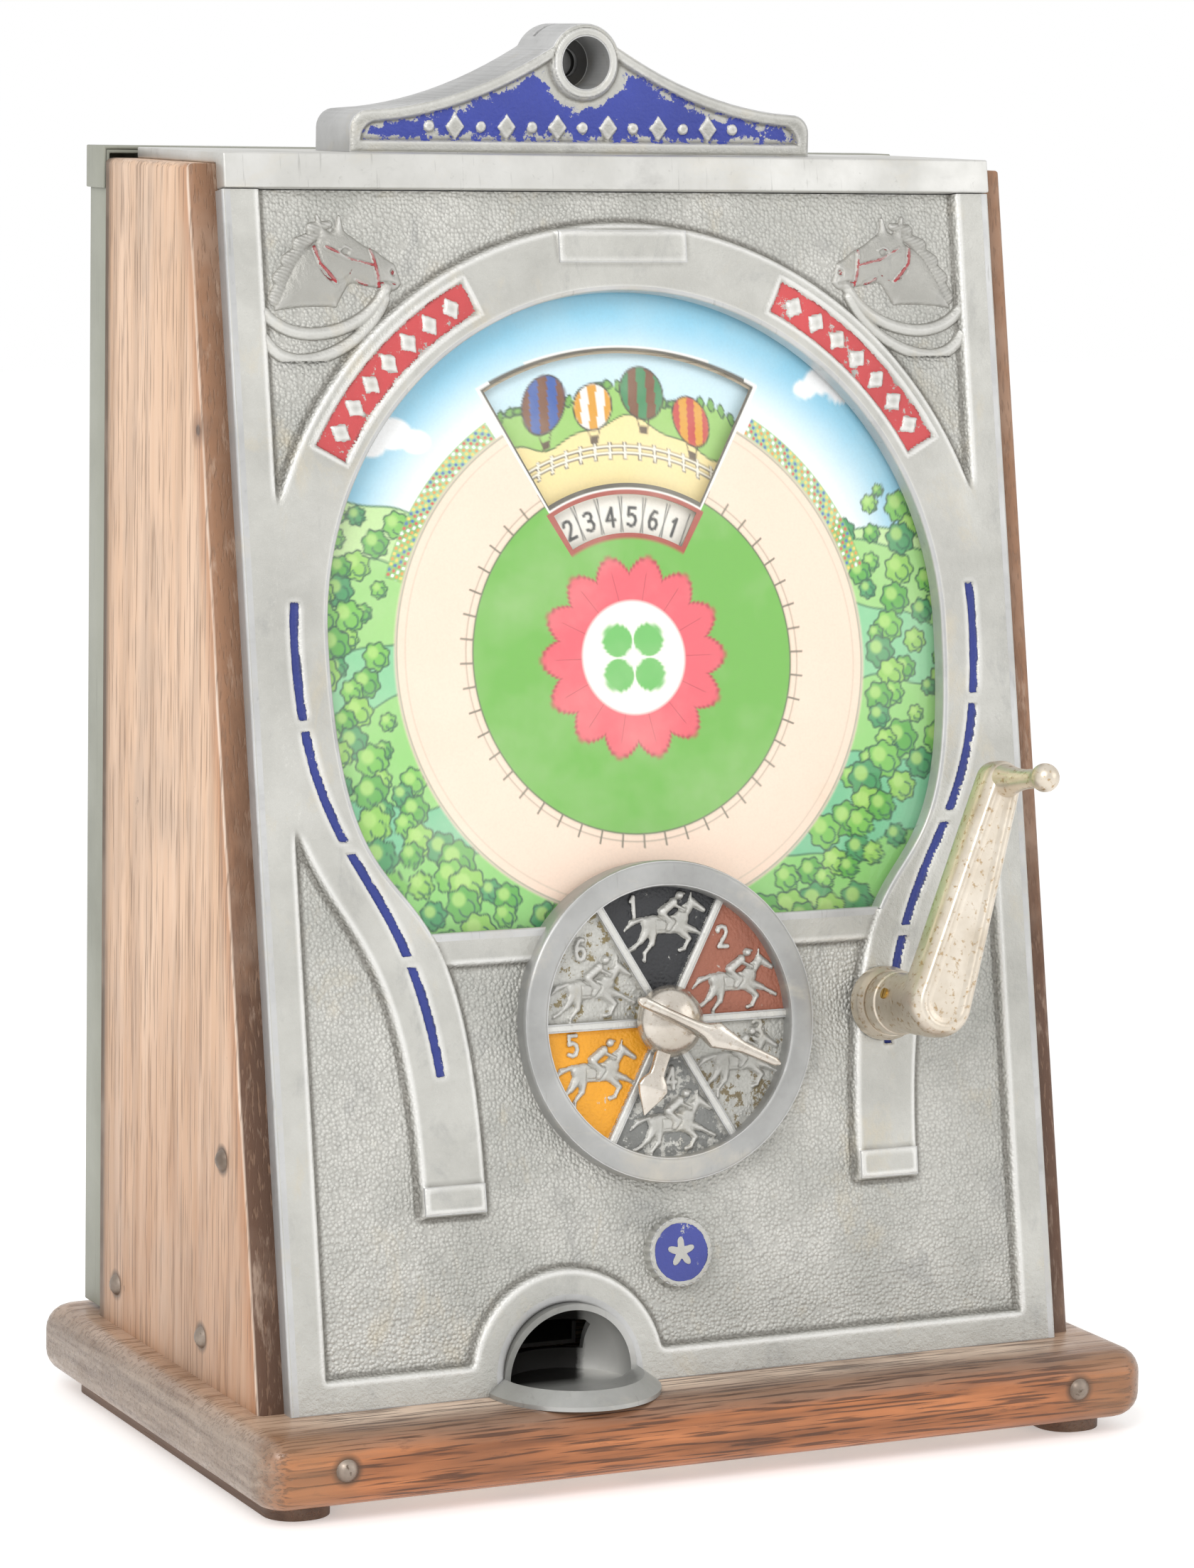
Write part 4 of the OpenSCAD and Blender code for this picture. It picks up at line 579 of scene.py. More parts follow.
def worn_board(tree, where, tone):
    """A side board: brown front edge with a painted shadow by the casting, corner worn pale, old stain at the
    foot, dents, a painted shadow in the rear door's gap, painted shade and grime round the screws, and a
    knot.
    """
    across, depth, rise = front_measures(tree, where)
    ragged = mottle(tree, where, 16, 4, 0.6, (1, 1, 5))
    streaky = mottle(tree, where, 3.0, 5, 0.7, (1, 1, 9))
    dents = mottle(tree, where, 9, 6, 0.78, (1, 1, 2.2))
    wandering = []
    for pattern, amount, measure in (
            (ragged, -0.22, rise), (ragged, 0.005, depth), (ragged, 0.001, depth),
            (streaky, 0.2, rise), (ragged, 0.006, distance_from(tree, where, KNOT))):
        links = {0: pattern, 1: amount, 2: measure}
        wandering.append(add(tree, "ShaderNodeMath", {"operation": "MULTIPLY_ADD"}, links).outputs[0])
    foot, near, edge, high, knot = wandering
    width = add(tree, "ShaderNodeMath", {"operation": "ABSOLUTE"}, {0: across}).outputs[0]
    back = add(tree, "ShaderNodeSeparateXYZ", None, {0: where}).outputs[1]
    # the front edge is brown, lighter higher up and darker next to the front casting as a painted shadow
    edge_brown_and_shadow_rows = [(high, 0.22, 0.36, 1, "#8f684c"), (width, 0.160, 0.1535, 0.45, "#3e2a1c")]
    rows = [
        (foot, 0.08, -0.10, 0.6, "#9a6a48"),
        (near, 0.019, 0.012, 0.7, "#b57f58"),
        (near, 0.0108, 0.0095, 1, "#ecd8c6"),
        (edge, 0.0080, 0.0072, 1, layered(tree, rgb("#573a27"), edge_brown_and_shadow_rows)),
        # darker brown towards the rear edge, and a near-black line at it painted as the shadow in the gap to
        # the rear door
        (back, SIDE_REAR - 0.016, SIDE_REAR - 0.004, 0.5, "#8f6a4a"),
        (back, SIDE_REAR - 0.007, SIDE_REAR - 0.0035, 0.9, "#3d2c18"),
        (dents, 0.685, 0.73, 0.75, "#5b4433"),
    ]
    for x in (SIDE_LEFT, SIDE_RIGHT):
        for behind, above in SIDE_SCREWS:
            rows.append(shade_and_dirt_round_screw(tree, where, (x, (FOOT_Y + behind) * MM, (BASE_TOP + above) * MM)))
    rows.append((knot, 0.0105, 0.0055, 0.6, "#6b4c38"))
    rows.append((knot, 0.0055, 0.0045, 0.9, "#3d2c22"))
    return layered(tree, tone, rows)


oak_side = oak("oak_stained_upright", 2, "#e3c2a6", "#dab596", "#b7a08d", "#7f624d", 0.5,
               worn_board, 0.62, 0.56)
print("made", oak_side.name)

# %% [markdown]
# The base is handled most. Its top is grey-brown, its front edge rubbed down to orange
# wood, and its ends are scraped, where the machine was pushed along a counter, and
# pale grey, partly as a painted sheen of the varnish.


# %% Wear on the base
def worn_base(tree, where, tone):
    """The base: top grey-brown with handling, front edge orange where stain has gone, painted shade and grime
    round screws.
    """
    depth, rise = add(tree, "ShaderNodeSeparateXYZ", None, {0: where}).outputs[1:]
    ragged = mottle(tree, where, 7, 5, 0.65, (12, 1, 1))
    scuffs = mottle(tree, where, 3.0, 5, 0.7, (5, 3, 1))
    links = {0: ragged, 1: 0.012, 2: rise}
    height = add(tree, "ShaderNodeMath", {"operation": "MULTIPLY_ADD"}, links).outputs[0]
    low_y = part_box("base_board")[0][1]
    rows = [
        (height, 0.030, 0.036, 1, "#8f6f59"),
        (depth, low_y + 0.010, low_y + 0.022, 1, "#d8bfa9"),
        (scuffs, 0.6, 0.7, 0.5, "#54392b"),
    ]
    low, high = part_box("base_screws")
    for x in (low[0] + SCREW_R * MM, high[0] - SCREW_R * MM):
        rows.append(shade_and_dirt_round_screw(tree, where, (x, low_y, (low[2] + high[2]) / 2)))
    return layered(tree, tone, rows)


def scraped_and_sheened_ends(tree, where, tone):
    """The base's ends are scraped from front to back: pale grey-brown streaks about 4 mm high and 70 mm long,
    whose grey is partly a painted sheen of the varnish.
    """
    across = add(tree, "ShaderNodeSeparateXYZ", None, {0: where}).outputs[0]
    width = add(tree, "ShaderNodeMath", {"operation": "ABSOLUTE"}, {0: across}).outputs[0]
    streak = mottle(tree, where, 4.0, 5, 0.7, (1, 18, 1))
    ends = layered(tree, rgb("#a69687"), [(streak, 0.32, 0.68, 1, "#675548")])
    # the end faces are pale grey-brown streaks: scrapes, and partly a painted sheen of the varnish
    return layered(tree, tone, [(width, 0.135, 0.156, 0.5, "#99704f"), (width, 0.167, 0.1755, 0.92, ends)])


oak_base = oak("oak_stained_lengthwise", 0, "#c47c4c", "#8f5733", "#5a4030", "#3f2517", 0.3,
               worn_base, 0.75, 0.52, scraped_and_sheened_ends)
print("made", oak_base.name)

# %% [markdown]
# The handle and the pointer are nickel on brass: warmer than aluminium, smoother, and
# freckled where the plating has worn through; the pointer, which is handled most, is
# the brightest. Steel, sheet steel and brass inside the case are plainer, each with its
# own turned or rolled grain, and the screws have browned.


# %% Plated, rolled and turned metals
def metal(name, light, dark, freckle, rough, grain_mm, stretch=(1, 1, 1), amount=0.4, from_level=0.63):
    """A bare or plated metal: clouds, freckles, and a fine grain in the roughness and height."""
    material, tree, shader, where = start(name)
    cloud = mottle(tree, where, 18, 4, 0.6)
    grain = mottle(tree, where, grain_mm, 3, 0.6, stretch)
    spots = mottle(tree, where, 2.2, 3, 0.6)
    rows = [(cloud, 0.35, 0.7, 1, dark), (spots, from_level, from_level + 0.11, amount, freckle)]
    tone = layered(tree, rgb(light), rows)
    shader.inputs["Metallic"].default_value = 0.9
    finished(tree, shader, tone, (grain, 0.3, 0.7, rough - 0.07, rough + 0.1), grain, 0.03)
    return material


PLAIN, ROLLED = (1, 1, 1), (1, 1, 9)
nickel = metal("nickel_plate_worn", "#dfd6c8", "#c8bcaa", "#a88a5e", 0.36, 1.5, PLAIN, 0.8, 0.57)
polished = metal("nickel_plate_polished", "#d9d2c8", "#b9b0a4", "#8d7450", 0.2, 1.5, PLAIN, 0.5, 0.6)
steel = metal("steel_turned", "#a9a9a6", "#7d7d7a", "#5c4a3a", 0.34, 0.9)
sheet = metal("sheet_steel_rolled", "#b3b5b1", "#a0a29e", "#6d6558", 0.4, 1.2, ROLLED)
# payout flap and trough: darker sheet steel, with the cup's painted shade and painted light laid over it
grimed_and_shaded_sheet = laid_on(metal("sheet_steel_grimed_and_shaded", "#8f908c", "#6f706c", "#4d463c", 0.5, 1.2, ROLLED), cup_painted_shade_and_light)
brass = metal("brass_turned", "#c9a455", "#a37f3b", "#6f5327", 0.33, 1.0)
dark_steel = metal("steel_screws_browned", "#a3968a", "#72655a", "#42301f", 0.45, 1.0, amount=0.7)
print("made", nickel.name, polished.name, steel.name, sheet.name, grimed_and_shaded_sheet.name, brass.name, dark_steel.name)


# %% [markdown]
# The rear door is sheet steel under a grey-green enamel. Enamel is glossy but never
# flat: it has a slight orange peel, long scratches, and rub marks down to the metal.
# Glass shows only by a faint mirror of the room, and print by matt, slightly faded ink.

# %% Door enamel, glass and print
def door_enamel():
    """Brushed-on enamel with an orange peel of about 3 mm and upright scratches."""
    material, tree, shader, where = start("enamel_grey_green")
    cloud = mottle(tree, where, 60, 5, 0.6)
    streak = mottle(tree, where, 2.0, 3, 0.6, (1, 1, 30))
    peel = mottle(tree, where, 3.0, 2, 0.5)
    chips = mottle(tree, where, 7.0, 6, 0.75)
    tone = layered(tree, rgb("#9a9b8e"), [
        (cloud, 0.35, 0.7, 1, "#8c8d81"),
        (streak, 0.62, 0.75, 0.5, "#73756c"),
        (chips, 0.70, 0.74, 1, "#5f5549"),
    ])
    finished(tree, shader, tone, (cloud, 0.3, 0.7, 0.38, 0.55), peel, 0.08)
    return material


def window_glass():
    """A flat pane: each face mirrors 3% of the room and lets the rest of the light straight through."""
    material, tree, shader, where = start("glass_flat_clear")
    links = {0: mottle(tree, where, 120, 1, 0.4), 1: 0.3, 2: 0.7, 3: 0.0, 4: 0.05}
    wavy = add(tree, "ShaderNodeMapRange", {"clamp": True}, links).outputs[0]
    tree.links.new(wavy, shader.inputs["Roughness"])
    shader.inputs["Base Color"].default_value = (0.96, 1.0, 0.98, 1)
    shader.inputs["Metallic"].default_value = 1.0
    shader.inputs["Alpha"].default_value = 0.03
    return material


FIBRE_DEEP_MM = 0.02


def printed(name, rough):
    """Litho print: the mesh's own colours, with paper fibre and a little fading on top."""
    material, tree, shader, where = start(name)
    ink = add(tree, "ShaderNodeAttribute", {"attribute_name": "ink"}).outputs["Color"]
    fade = mottle(tree, where, 40, 4, 0.6)
    fibre = mottle(tree, where, 0.9, 3, 0.6)
    tone = layered(tree, ink, [(fade, 0.45, 0.8, 0.18, "#fff6e4"), (fibre, 0.4, 0.8, 0.08, "#6d6456")])
    links = {"Height": fibre, "Distance": FIBRE_DEEP_MM * MM, "Strength": 1.0}
    bump = add(tree, "ShaderNodeBump", None, links).outputs[0]
    tree.links.new(tone, shader.inputs["Base Color"])
    tree.links.new(bump, shader.inputs["Normal"])
    shader.inputs["Roughness"].default_value = rough
    return material


enamel = door_enamel()
glass = window_glass()
card_print = printed("litho_print_on_card", 0.55)
greyboard = oak("greyboard_pressed", 0, "#b7aa94", "#a99b84", "#94866f", "#8d7f69", 0.8)
disc_print = printed("litho_print_on_disc", 0.4)
print("made", enamel.name, glass.name, card_print.name, greyboard.name, disc_print.name)

# %% [markdown]
# The solids that stay get their finishes by the record's own slots, and a few by their
# own names. They arrive as loose triangles, so a Weld and an Edge Split modifier join
# them for smooth shading and keep their edges, without a change to the mesh itself.

# %% Finishes on the solids that stay
BY_SLOT = {
    "oak_stained": oak_side, "oak_plain": oak_skid, "cast_aluminium": cast_bare,
    "nickel_plate": nickel, "steel": steel, "sheet_steel": sheet, "brass": brass,
    "window_glass": glass, "printed_disc": disc_print, "printed_card": card_print,
    "door_paint": enamel,
}
BY_NAME = {
    "base_board": oak_base, "base_screws": dark_steel, "side_screws": dark_steel,
    "coin_head": cast_reeded, "coin_cup": cast_cup, "payout_flap": grimed_and_shaded_sheet,
    "payout_trough": grimed_and_shaded_sheet, "top_casting": cast_rail, "reveal_disc": greyboard,
}
ROUNDED_MM = {
    "top_casting": 0.7, "coin_head": 0.7, "skid_left": 0.8, "skid_right": 0.8,
    "door_cap": 0.5, "rear_door": 0.5,
}
for part in frame["record"]["subparts"]:
    name = part["node"]
    solid = frame["nodes"][name]
    solid.data.materials.clear()
    solid.data.materials.append(BY_NAME.get(name, BY_SLOT[part["material_slot"]]))
    solid.data.polygons.foreach_set("use_smooth", np.ones(len(solid.data.polygons), bool))
    weld = solid.modifiers.new("join triangles", "WELD")
    weld.merge_threshold = 1e-5
    if name in ROUNDED_MM:
        round_off = solid.modifiers.new("round edges", "BEVEL")
        round_off.width = ROUNDED_MM[name] * MM
        round_off.segments = 3
        round_off.limit_method = "ANGLE"
        round_off.angle_limit = math.radians(42)
    split = solid.modifiers.new("keep edges", "EDGE_SPLIT")
    split.split_angle = math.radians(32)

# %% [markdown]
# Relief can be drawn with signed distances: a number on each point of a grid that is
# negative inside a shape and grows outside. Ramps on that number give soft walls, the
# smaller of two numbers joins shapes, and a soft smaller value gives a cast fillet.


# %% Distances for drawing
def smooth(x, low, high):
    """Smoothstep from 0 at low to 1 at high."""
    t = np.clip((x - low) / (high - low), 0, 1)
    return t * t * (3 - 2 * t)


def within(distance, low, high):
    """1 inside a shape and 0 outside it, with a soft wall between two distances."""
    return 1 - smooth(distance, low, high)


def soft_min(a, b, k):
    """Smaller of two distances with a fillet of size k."""
    h = np.clip(0.5 + 0.5 * (b - a) / k, 0, 1)
    return b + (a - b) * h - k * h * (1 - h)


def limb(x, y, a, b, ra, rb):
    """Distance to a bar from a to b whose radius runs from ra to rb."""
    ex, ey = b[0] - a[0], b[1] - a[1]
    t = np.clip(((x - a[0]) * ex + (y - a[1]) * ey) / (ex * ex + ey * ey + 1e-12), 0, 1)
    return np.hypot(x - a[0] - t * ex, y - a[1] - t * ey) - (ra + (rb - ra) * t)


def swell(distance, height, reach):
    """Rounded height inside a shape: height (1 - e^(distance / reach)), and 0 outside."""
    return height * (1 - np.exp(np.minimum(distance, 0) / reach))


def line(x, y, points, width):
    """Distance to a drawn line of that width."""
    found = [limb(x, y, a, b, width / 2, width / 2) for a, b in zip(points[:-1], points[1:])]
    return np.minimum.reduce(found)


def polygon_distance(x, y, points):
    """Signed distance to a closed polygon: least distance to an edge, negative inside by crossings."""
    best = np.full(np.shape(x), np.inf)
    inside = np.zeros(np.shape(x), bool)
    for (x0, y0), (x1, y1) in zip(points, np.roll(points, -1, 0)):
        best = np.minimum(best, limb(x, y, (x0, y0), (x1, y1), 0, 0))
        with np.errstate(divide="ignore", invalid="ignore"):
            cut = (x1 - x0) * (y - y0) / (y1 - y0) + x0
        inside ^= ((y0 > y) != (y1 > y)) & (x < cut)
    return np.where(inside, -best, best)


print("a fillet of 2 between two edges lowers them by", round(-float(soft_min(0.0, 0.0, 2.0)), 2))

# %% [markdown]
# Figures come from the same distances. A numeral is a few lines in a unit square, and a
# galloping horse is twenty tapering bars in its body's proportions, joined by fillets,
# with its rider as six more. Both can then be drawn at any size and place.

# %% Numerals, horse and rider
DIGITS = {
    1: [[(.25, .78), (.5, 1), (.5, 0)]],
    2: [[(.12, .78), (.22, .95), (.5, 1), (.78, .93), (.85, .72), (.7, .5), (.1, 0), (.9, 0)]],
    3: [[(.12, .9), (.4, 1), (.75, .93), (.82, .74), (.65, .56), (.42, .53)],
        [(.42, .53), (.72, .48), (.88, .27), (.72, .06), (.42, 0), (.1, .1)]],
    4: [[(.68, 0), (.68, 1), (.08, .32), (.92, .32)]],
    5: [[(.82, 1), (.2, 1), (.15, .56), (.5, .63), (.8, .52), (.87, .3), (.72, .07), (.42, 0), (.1, .08)]],
    6: [[(.75, .95), (.45, .98), (.2, .7), (.12, .35), (.25, .06), (.5, 0), (.78, .08), (.88, .3),
         (.75, .52), (.5, .58), (.22, .48), (.13, .33)]],
}


def digit(x, y, number, at, height, width):
    """Distance to a plain numeral of that height, whose middle is at the given point."""
    strokes = [np.array(at) + (np.array(s) - 0.5) * [height * 0.62, height] for s in DIGITS[number]]
    return np.minimum.reduce([line(x, y, s, width) for s in strokes])


HORSE = [
    ((.27, .56), (.58, .55), .118, .108), ((.56, .56), (.68, .62), .110, .092),
    ((.66, .64), (.83, .81), .086, .052), ((.83, .82), (.99, .71), .054, .030),
    ((.81, .86), (.83, .94), .022, .008), ((.19, .58), (.27, .57), .092, .112),
    ((.12, .64), (-.03, .60), .026, .034), ((-.03, .60), (-.14, .50), .034, .008),
    ((.20, .52), (.09, .37), .082, .040), ((.09, .37), (-.01, .29), .034, .022),
    ((-.01, .29), (-.09, .25), .024, .026), ((.26, .50), (.24, .33), .076, .038),
    ((.24, .33), (.13, .21), .034, .022), ((.13, .21), (.12, .12), .024, .026),
    ((.66, .53), (.84, .46), .066, .036), ((.84, .46), (.97, .39), .032, .022),
    ((.97, .39), (1.03, .36), .024, .026), ((.62, .50), (.76, .36), .066, .036),
    ((.76, .36), (.69, .24), .032, .022), ((.69, .24), (.62, .22), .024, .026),
]
RIDER = [
    ((.40, .71), (.57, .83), .060, .056), ((.65, .91), (.67, .91), .046, .044),
    ((.56, .80), (.71, .73), .026, .020), ((.40, .69), (.53, .58), .044, .034),
    ((.53, .58), (.47, .49), .030, .024), ((.66, .94), (.73, .93), .022, .012),
]


def horse(x, y, at, width, parts):
    """Distance to a galloping horse (or its rider) built from bars, centred at the given point."""
    px, py = (x - at[0]) / width + 0.46, (y - at[1]) / width + 0.50
    found = limb(px, py, *parts[0])
    for part in parts[1:]:
        found = soft_min(found, limb(px, py, *part), 0.02)
    return found * width


print("drawn", len(DIGITS), "numerals, a horse of", len(HORSE), "bars and a rider of", len(RIDER))

# %% [markdown]
# The front is one casting with a great deal of low relief, so it is drawn as a height
# on a grid of 0.75 mm. The outlines are those of the solid underneath: a border, a
# horseshoe whose branches are cubic curves, a sill, an arch over the cup, a dial. Names
# that end in _u, _v and _w are measures to the right, up the slope and out of the face.

# %% Outlines of the front
vs = np.linspace(0.3, 424.9, 567)
us = np.linspace(-152.3, 152.3, 407)
V, U = np.meshgrid(vs, us, indexing="ij")
side_u = np.abs(U)
SHOE_V, SHOE_IN, SHOE_OUT, HEEL_V = 267.0, 122.8, 146.0, 65.0
GROOVE_R, CALK_V = 135.4, 75.0
DIAL_V, DIAL_OUT, DIAL_IN = 127.0, 57.3, 48.7
ARCH_U, ARCH_V, ARCH_IN, ARCH_OUT = -46.0, 4.75, 26.0, 37.0
SILL_LOW, SILL_V = 152.0, 163.0
BORDER_U, BORDER_V = 139.5, 10.5
TOE_U, TOE_V, TOE_HALF = 25.5, 405.05, 5.75
PROUD = 0.35


def branch(r, heel, h1, h2, steps=240):
    """Cubic curve from (r, shoe middle) down to (heel, heel height), as points (u, v)."""
    t = np.linspace(0, 1, steps)[:, None]
    p = np.array([(r, SHOE_V), (r, SHOE_V - h1), (heel, HEEL_V + h2), (heel, HEEL_V)])
    return (1 - t) ** 3 * p[0] + 3 * t * (1 - t) ** 2 * p[1] + 3 * t ** 2 * (1 - t) * p[2] + t ** 3 * p[3]


leg_in, leg_out = branch(SHOE_IN, 75, 129, 156), branch(SHOE_OUT, 98.5, 118, 133)
leg_mid = branch(GROOVE_R, 86.75, 98, 134)


def beyond(leg, radius):
    """Distance outside a half-round top on two branches: by radius above its middle, sideways below."""
    x = np.interp(V, leg[::-1, 1], leg[::-1, 0])
    slope = np.gradient(x, vs, axis=0)
    side = (side_u - x) / np.sqrt(1 + slope ** 2)
    return np.where(V > SHOE_V, np.hypot(U, V - SHOE_V) - radius, side)


in_edge, out_edge = beyond(leg_in, SHOE_IN), beyond(leg_out, SHOE_OUT)
shoe = np.maximum(np.maximum(out_edge, -in_edge), HEEL_V - V)
border = np.minimum(BORDER_U - side_u, V - BORDER_V)
dial_r = np.hypot(U, V - DIAL_V)
arch_r = np.where(V > ARCH_V, np.hypot(U - ARCH_U, V - ARCH_V), np.abs(U - ARCH_U))
window = np.maximum(np.maximum(in_edge, SILL_V - V), DIAL_OUT - dial_r)
sill = np.maximum(in_edge, np.maximum(SILL_LOW - V, V - SILL_V))
print("window area", int((window < 0).sum() * 0.75 ** 2), "mm2")

# %% [markdown]
# Each raised or sunk shape then sets a level. Bands of paint, the roughness of the
# stippled ground and later the wear follow from the same distances, so paint ends
# exactly where its recess ends.

# %% Levels of the plain shapes
raised = soft_min(shoe, border, 3.0)
raised = soft_min(raised, np.maximum(arch_r - ARCH_OUT, 0.1 - V), 2.0)
FIELD = -3 + PROUD
up = within(raised, -0.3, 1.9)
front_w = FIELD + (PROUD - FIELD) * up
crown = np.sin(math.pi * np.clip(in_edge / (SHOE_OUT - SHOE_IN), 0, 1))
front_w += 0.45 * crown * (shoe < 0) * smooth(-shoe, 0, 3)
on_sill = within(sill, -0.3, 1.2)
front_w = np.where(on_sill > 0, np.maximum(front_w, FIELD + (PROUD - 1 - FIELD) * on_sill), front_w)
calk = np.maximum(shoe, V - CALK_V)
toe = np.maximum(side_u - TOE_U, np.abs(V - TOE_V) - TOE_HALF)
for shape in (calk, toe):
    front_w = np.maximum(front_w, (PROUD + 1.2) - 4 * smooth(shape, -0.5, 1.4))
stipple = np.clip(1 - np.maximum(up, on_sill), 0, 1)
paint = np.zeros(U.shape + (4,))


def lay_paint(paint, mask, code):
    """Paint of one colour over the points of a mask; its amount is the larger of old and new."""
    paint[..., :3] = paint[..., :3] * (1 - mask[..., None]) + tint(code) * mask[..., None]
    paint[..., 3] = np.maximum(paint[..., 3], mask)


print("field at", FIELD, "mm, raised parts up to", round(front_w.max(), 2), "mm")

# %% [markdown]
# Paint lies in recesses 1.2 mm deep: a blue groove along each branch, broken by three
# bridges, and a red panel on each shoulder with a row of lozenges left bare in it.

# %% Painted groove and panels
SUNK = 1.2
GROOVE_GAPS = (238, 195, 154)
groove = np.maximum(np.abs(beyond(leg_mid, GROOVE_R)) - 1.75, np.abs(V - 197) - 84)
for at in GROOVE_GAPS:
    groove = np.maximum(groove, 1.9 - np.abs(V - at))
front_w -= SUNK * within(groove, -1.0, 0.5)
lay_paint(paint, within(groove, -0.4, 0.2), "#2b3a8a")

PANEL_R, PANEL_HALF, PANEL_DEG, PANEL_SPAN = 134.75, 6.25, 46.0, 17.0
turn_deg = np.degrees(np.arctan2(V - SHOE_V, side_u))
off_line = np.abs(np.hypot(U, V - SHOE_V) - PANEL_R)
along = (turn_deg - PANEL_DEG) * math.radians(1) * PANEL_R
ends = (np.abs(turn_deg - PANEL_DEG) - PANEL_SPAN) * math.radians(1) * PANEL_R
panel = np.maximum(off_line - PANEL_HALF, ends)
front_w -= SUNK * within(panel, -1.0, 0.5)
lay_paint(paint, 0.8 * within(panel, -0.5, 0.1), "#e4585a")
outline = np.abs(panel - 1.3) - 0.5
front_w += 0.5 * within(outline, -0.4, 0.6) * (shoe < 1)
for k in range(-3, 4):
    lozenge = np.abs(along - 10.5 * k) / 3.6 + off_line / 4.6 - 1
    front_w += 1.1 * within(lozenge, -0.25, 0.15)
    paint[..., 3] *= smooth(lozenge, -0.15, 0.1)
print("relief from", round(front_w.min(), 2), "to", round(front_w.max(), 2), "mm")

# %% [markdown]
# Two horse heads fill the upper corners. Each is a handful of bars melted into one
# another, swollen towards the middle, with cut lines for the eye, nostril and bridle.
# They are small, so they get a grid of 0.35 mm of their own, drawn once and mirrored.

# %% Horse heads in the corners
HV, HU = np.meshgrid(np.linspace(365, 420, 158), np.linspace(-141, -84, 164), indexing="ij")
NECK = [
    ((-124, 383), (-117, 395), 11.0, 10.0), ((-117, 395), (-109.5, 401.5), 10.0, 8.6),
    ((-109.5, 401.5), (-99, 398), 8.6, 6.4), ((-99, 398), (-90.8, 394.6), 6.2, 5.2),
    ((-115, 409), (-117, 416), 2.4, 0.7), ((-109, 409.5), (-108.5, 415.5), 2.1, 0.7),
]
MANE = [
    ((-134, 387), (-131.5, 393), 3.0, 2.2), ((-132, 394), (-128, 399), 3.0, 2.0),
    ((-128.5, 400), (-123.5, 404.5), 3.0, 2.0), ((-124, 406), (-117.5, 409.5), 2.8, 1.8),
    ((-119, 411.5), (-112.5, 413), 2.3, 1.4),
]
head = limb(HU, HV, *NECK[0])
for part in NECK[1:]:
    head = soft_min(head, limb(HU, HV, *part), 1.8)
mane = np.minimum.reduce([limb(HU, HV, *part) for part in MANE])
neck_end = 384.2 - HV - 0.006 * (HU + 119) ** 2
nose_end = (HU + 87.0) * 0.95 + (HV - 395) * 0.3
head = np.maximum(head, np.maximum(neck_end, nose_end))
relief = swell(head, 2.1, 3.4) + 0.6 * within(head, -0.7, 0.4)
relief = np.maximum(relief, swell(mane, 1.2, 1.4) + 0.5 * within(mane, -0.6, 0.4))
tuft = np.abs((HU + 2.2 * HV) % 3.4 - 1.7) - 0.35
relief -= 0.35 * within(tuft, -0.3, 0.4) * (mane < -0.3) * (head > -1.5)
eye = np.hypot((HU + 107.5) * 0.8, HV - 403.2) - 1.2
lid = line(HU, HV, [(-109.8, 403.6), (-107.6, 405.2), (-105.2, 404.0)], 0.7)
nostril = np.hypot(HU + 89.6, (HV - 396.0) * 0.8) - 0.9
mouth = line(HU, HV, [(-88.6, 391.9), (-92.5, 392.6), (-95.5, 392.0)], 0.7)
cheek = np.abs(np.hypot(HU + 111.2, HV - 399.0) - 6.2) - 0.3 + 4 * (HV > 397)
STRAPS = [
    ([(-119.5, 408), (-117.5, 399), (-111.5, 392.5)], 1.3), ([(-97.5, 404), (-95, 391)], 1.2),
    ([(-114.5, 405), (-106, 400.6), (-97, 398.5)], 1.0), ([(-104, 393.5), (-99.5, 391.5)], 1.0),
]
bridle = np.minimum.reduce([line(HU, HV, points, width) for points, width in STRAPS])
strap_edge = np.abs(bridle - 0.5) - 0.1
for cut_line, depth in ((eye, 0.6), (nostril, 0.7), (mouth, 0.6), (cheek, 0.35), (strap_edge, 0.3)):
    relief -= depth * within(cut_line, -0.3, 0.4) * (head < -0.2)
relief += 0.35 * within(np.minimum(bridle, lid), -0.3, 0.3) * (head < -0.4)
print("heads rise", round(relief.max(), 2), "mm from the field")

# %% [markdown]
# Two bands swing from each head to the border, as curves of the fourth degree with a
# round section. The red paint on a head is worn down to traces in its cut lines.

# %% Bands and traces of paint
BANDS = [[(-92, 391), (-98, 378), (-112, 374), (-128, 370), (-139, 382)],
         [(-93, 387), (-101, 370), (-114, 368), (-130, 358), (-139.5, 373)]]
t = np.linspace(0, 1, 28)[:, None]
bands = np.full(HU.shape, 50.0)
for points in BANDS:
    p = np.array(points, float)
    curve = sum(math.comb(4, k) * t ** k * (1 - t) ** (4 - k) * p[k] for k in range(5))
    bands = np.minimum(bands, line(HU, HV, curve.tolist(), 4.6))
round_band = 1.7 * np.sqrt(np.clip(-bands / 2.1, 0, 1))
relief = np.maximum(relief, round_band + 0.4 * within(bands, -0.4, 0.3))
figure_edge = np.minimum(np.minimum(head, mane), bands)
head_paint = np.zeros(HU.shape + (4,))
for trace, amount in ((bridle, 0.72), (np.abs(eye) - 0.2, 0.6), (mouth, 0.6), (nostril, 0.5), (cheek, 0.45)):
    lay_paint(head_paint, amount * within(trace, -0.3, 0.25) * (head < -0.2), "#c8383f")
print("painted", int((head_paint[..., 3] > 0.3).sum()), "points of a head")

# %% [markdown]
# The dial is six fields between six ribs. Every field has a galloping horse with its
# rider and a number in bare metal; the ground round them is painted, in some fields
# only in traces. Such small figures need a finer grid, so the dial is a skin of its own
# with points 0.35 mm apart, and the front's grid has a hole there, under the dial's ring.

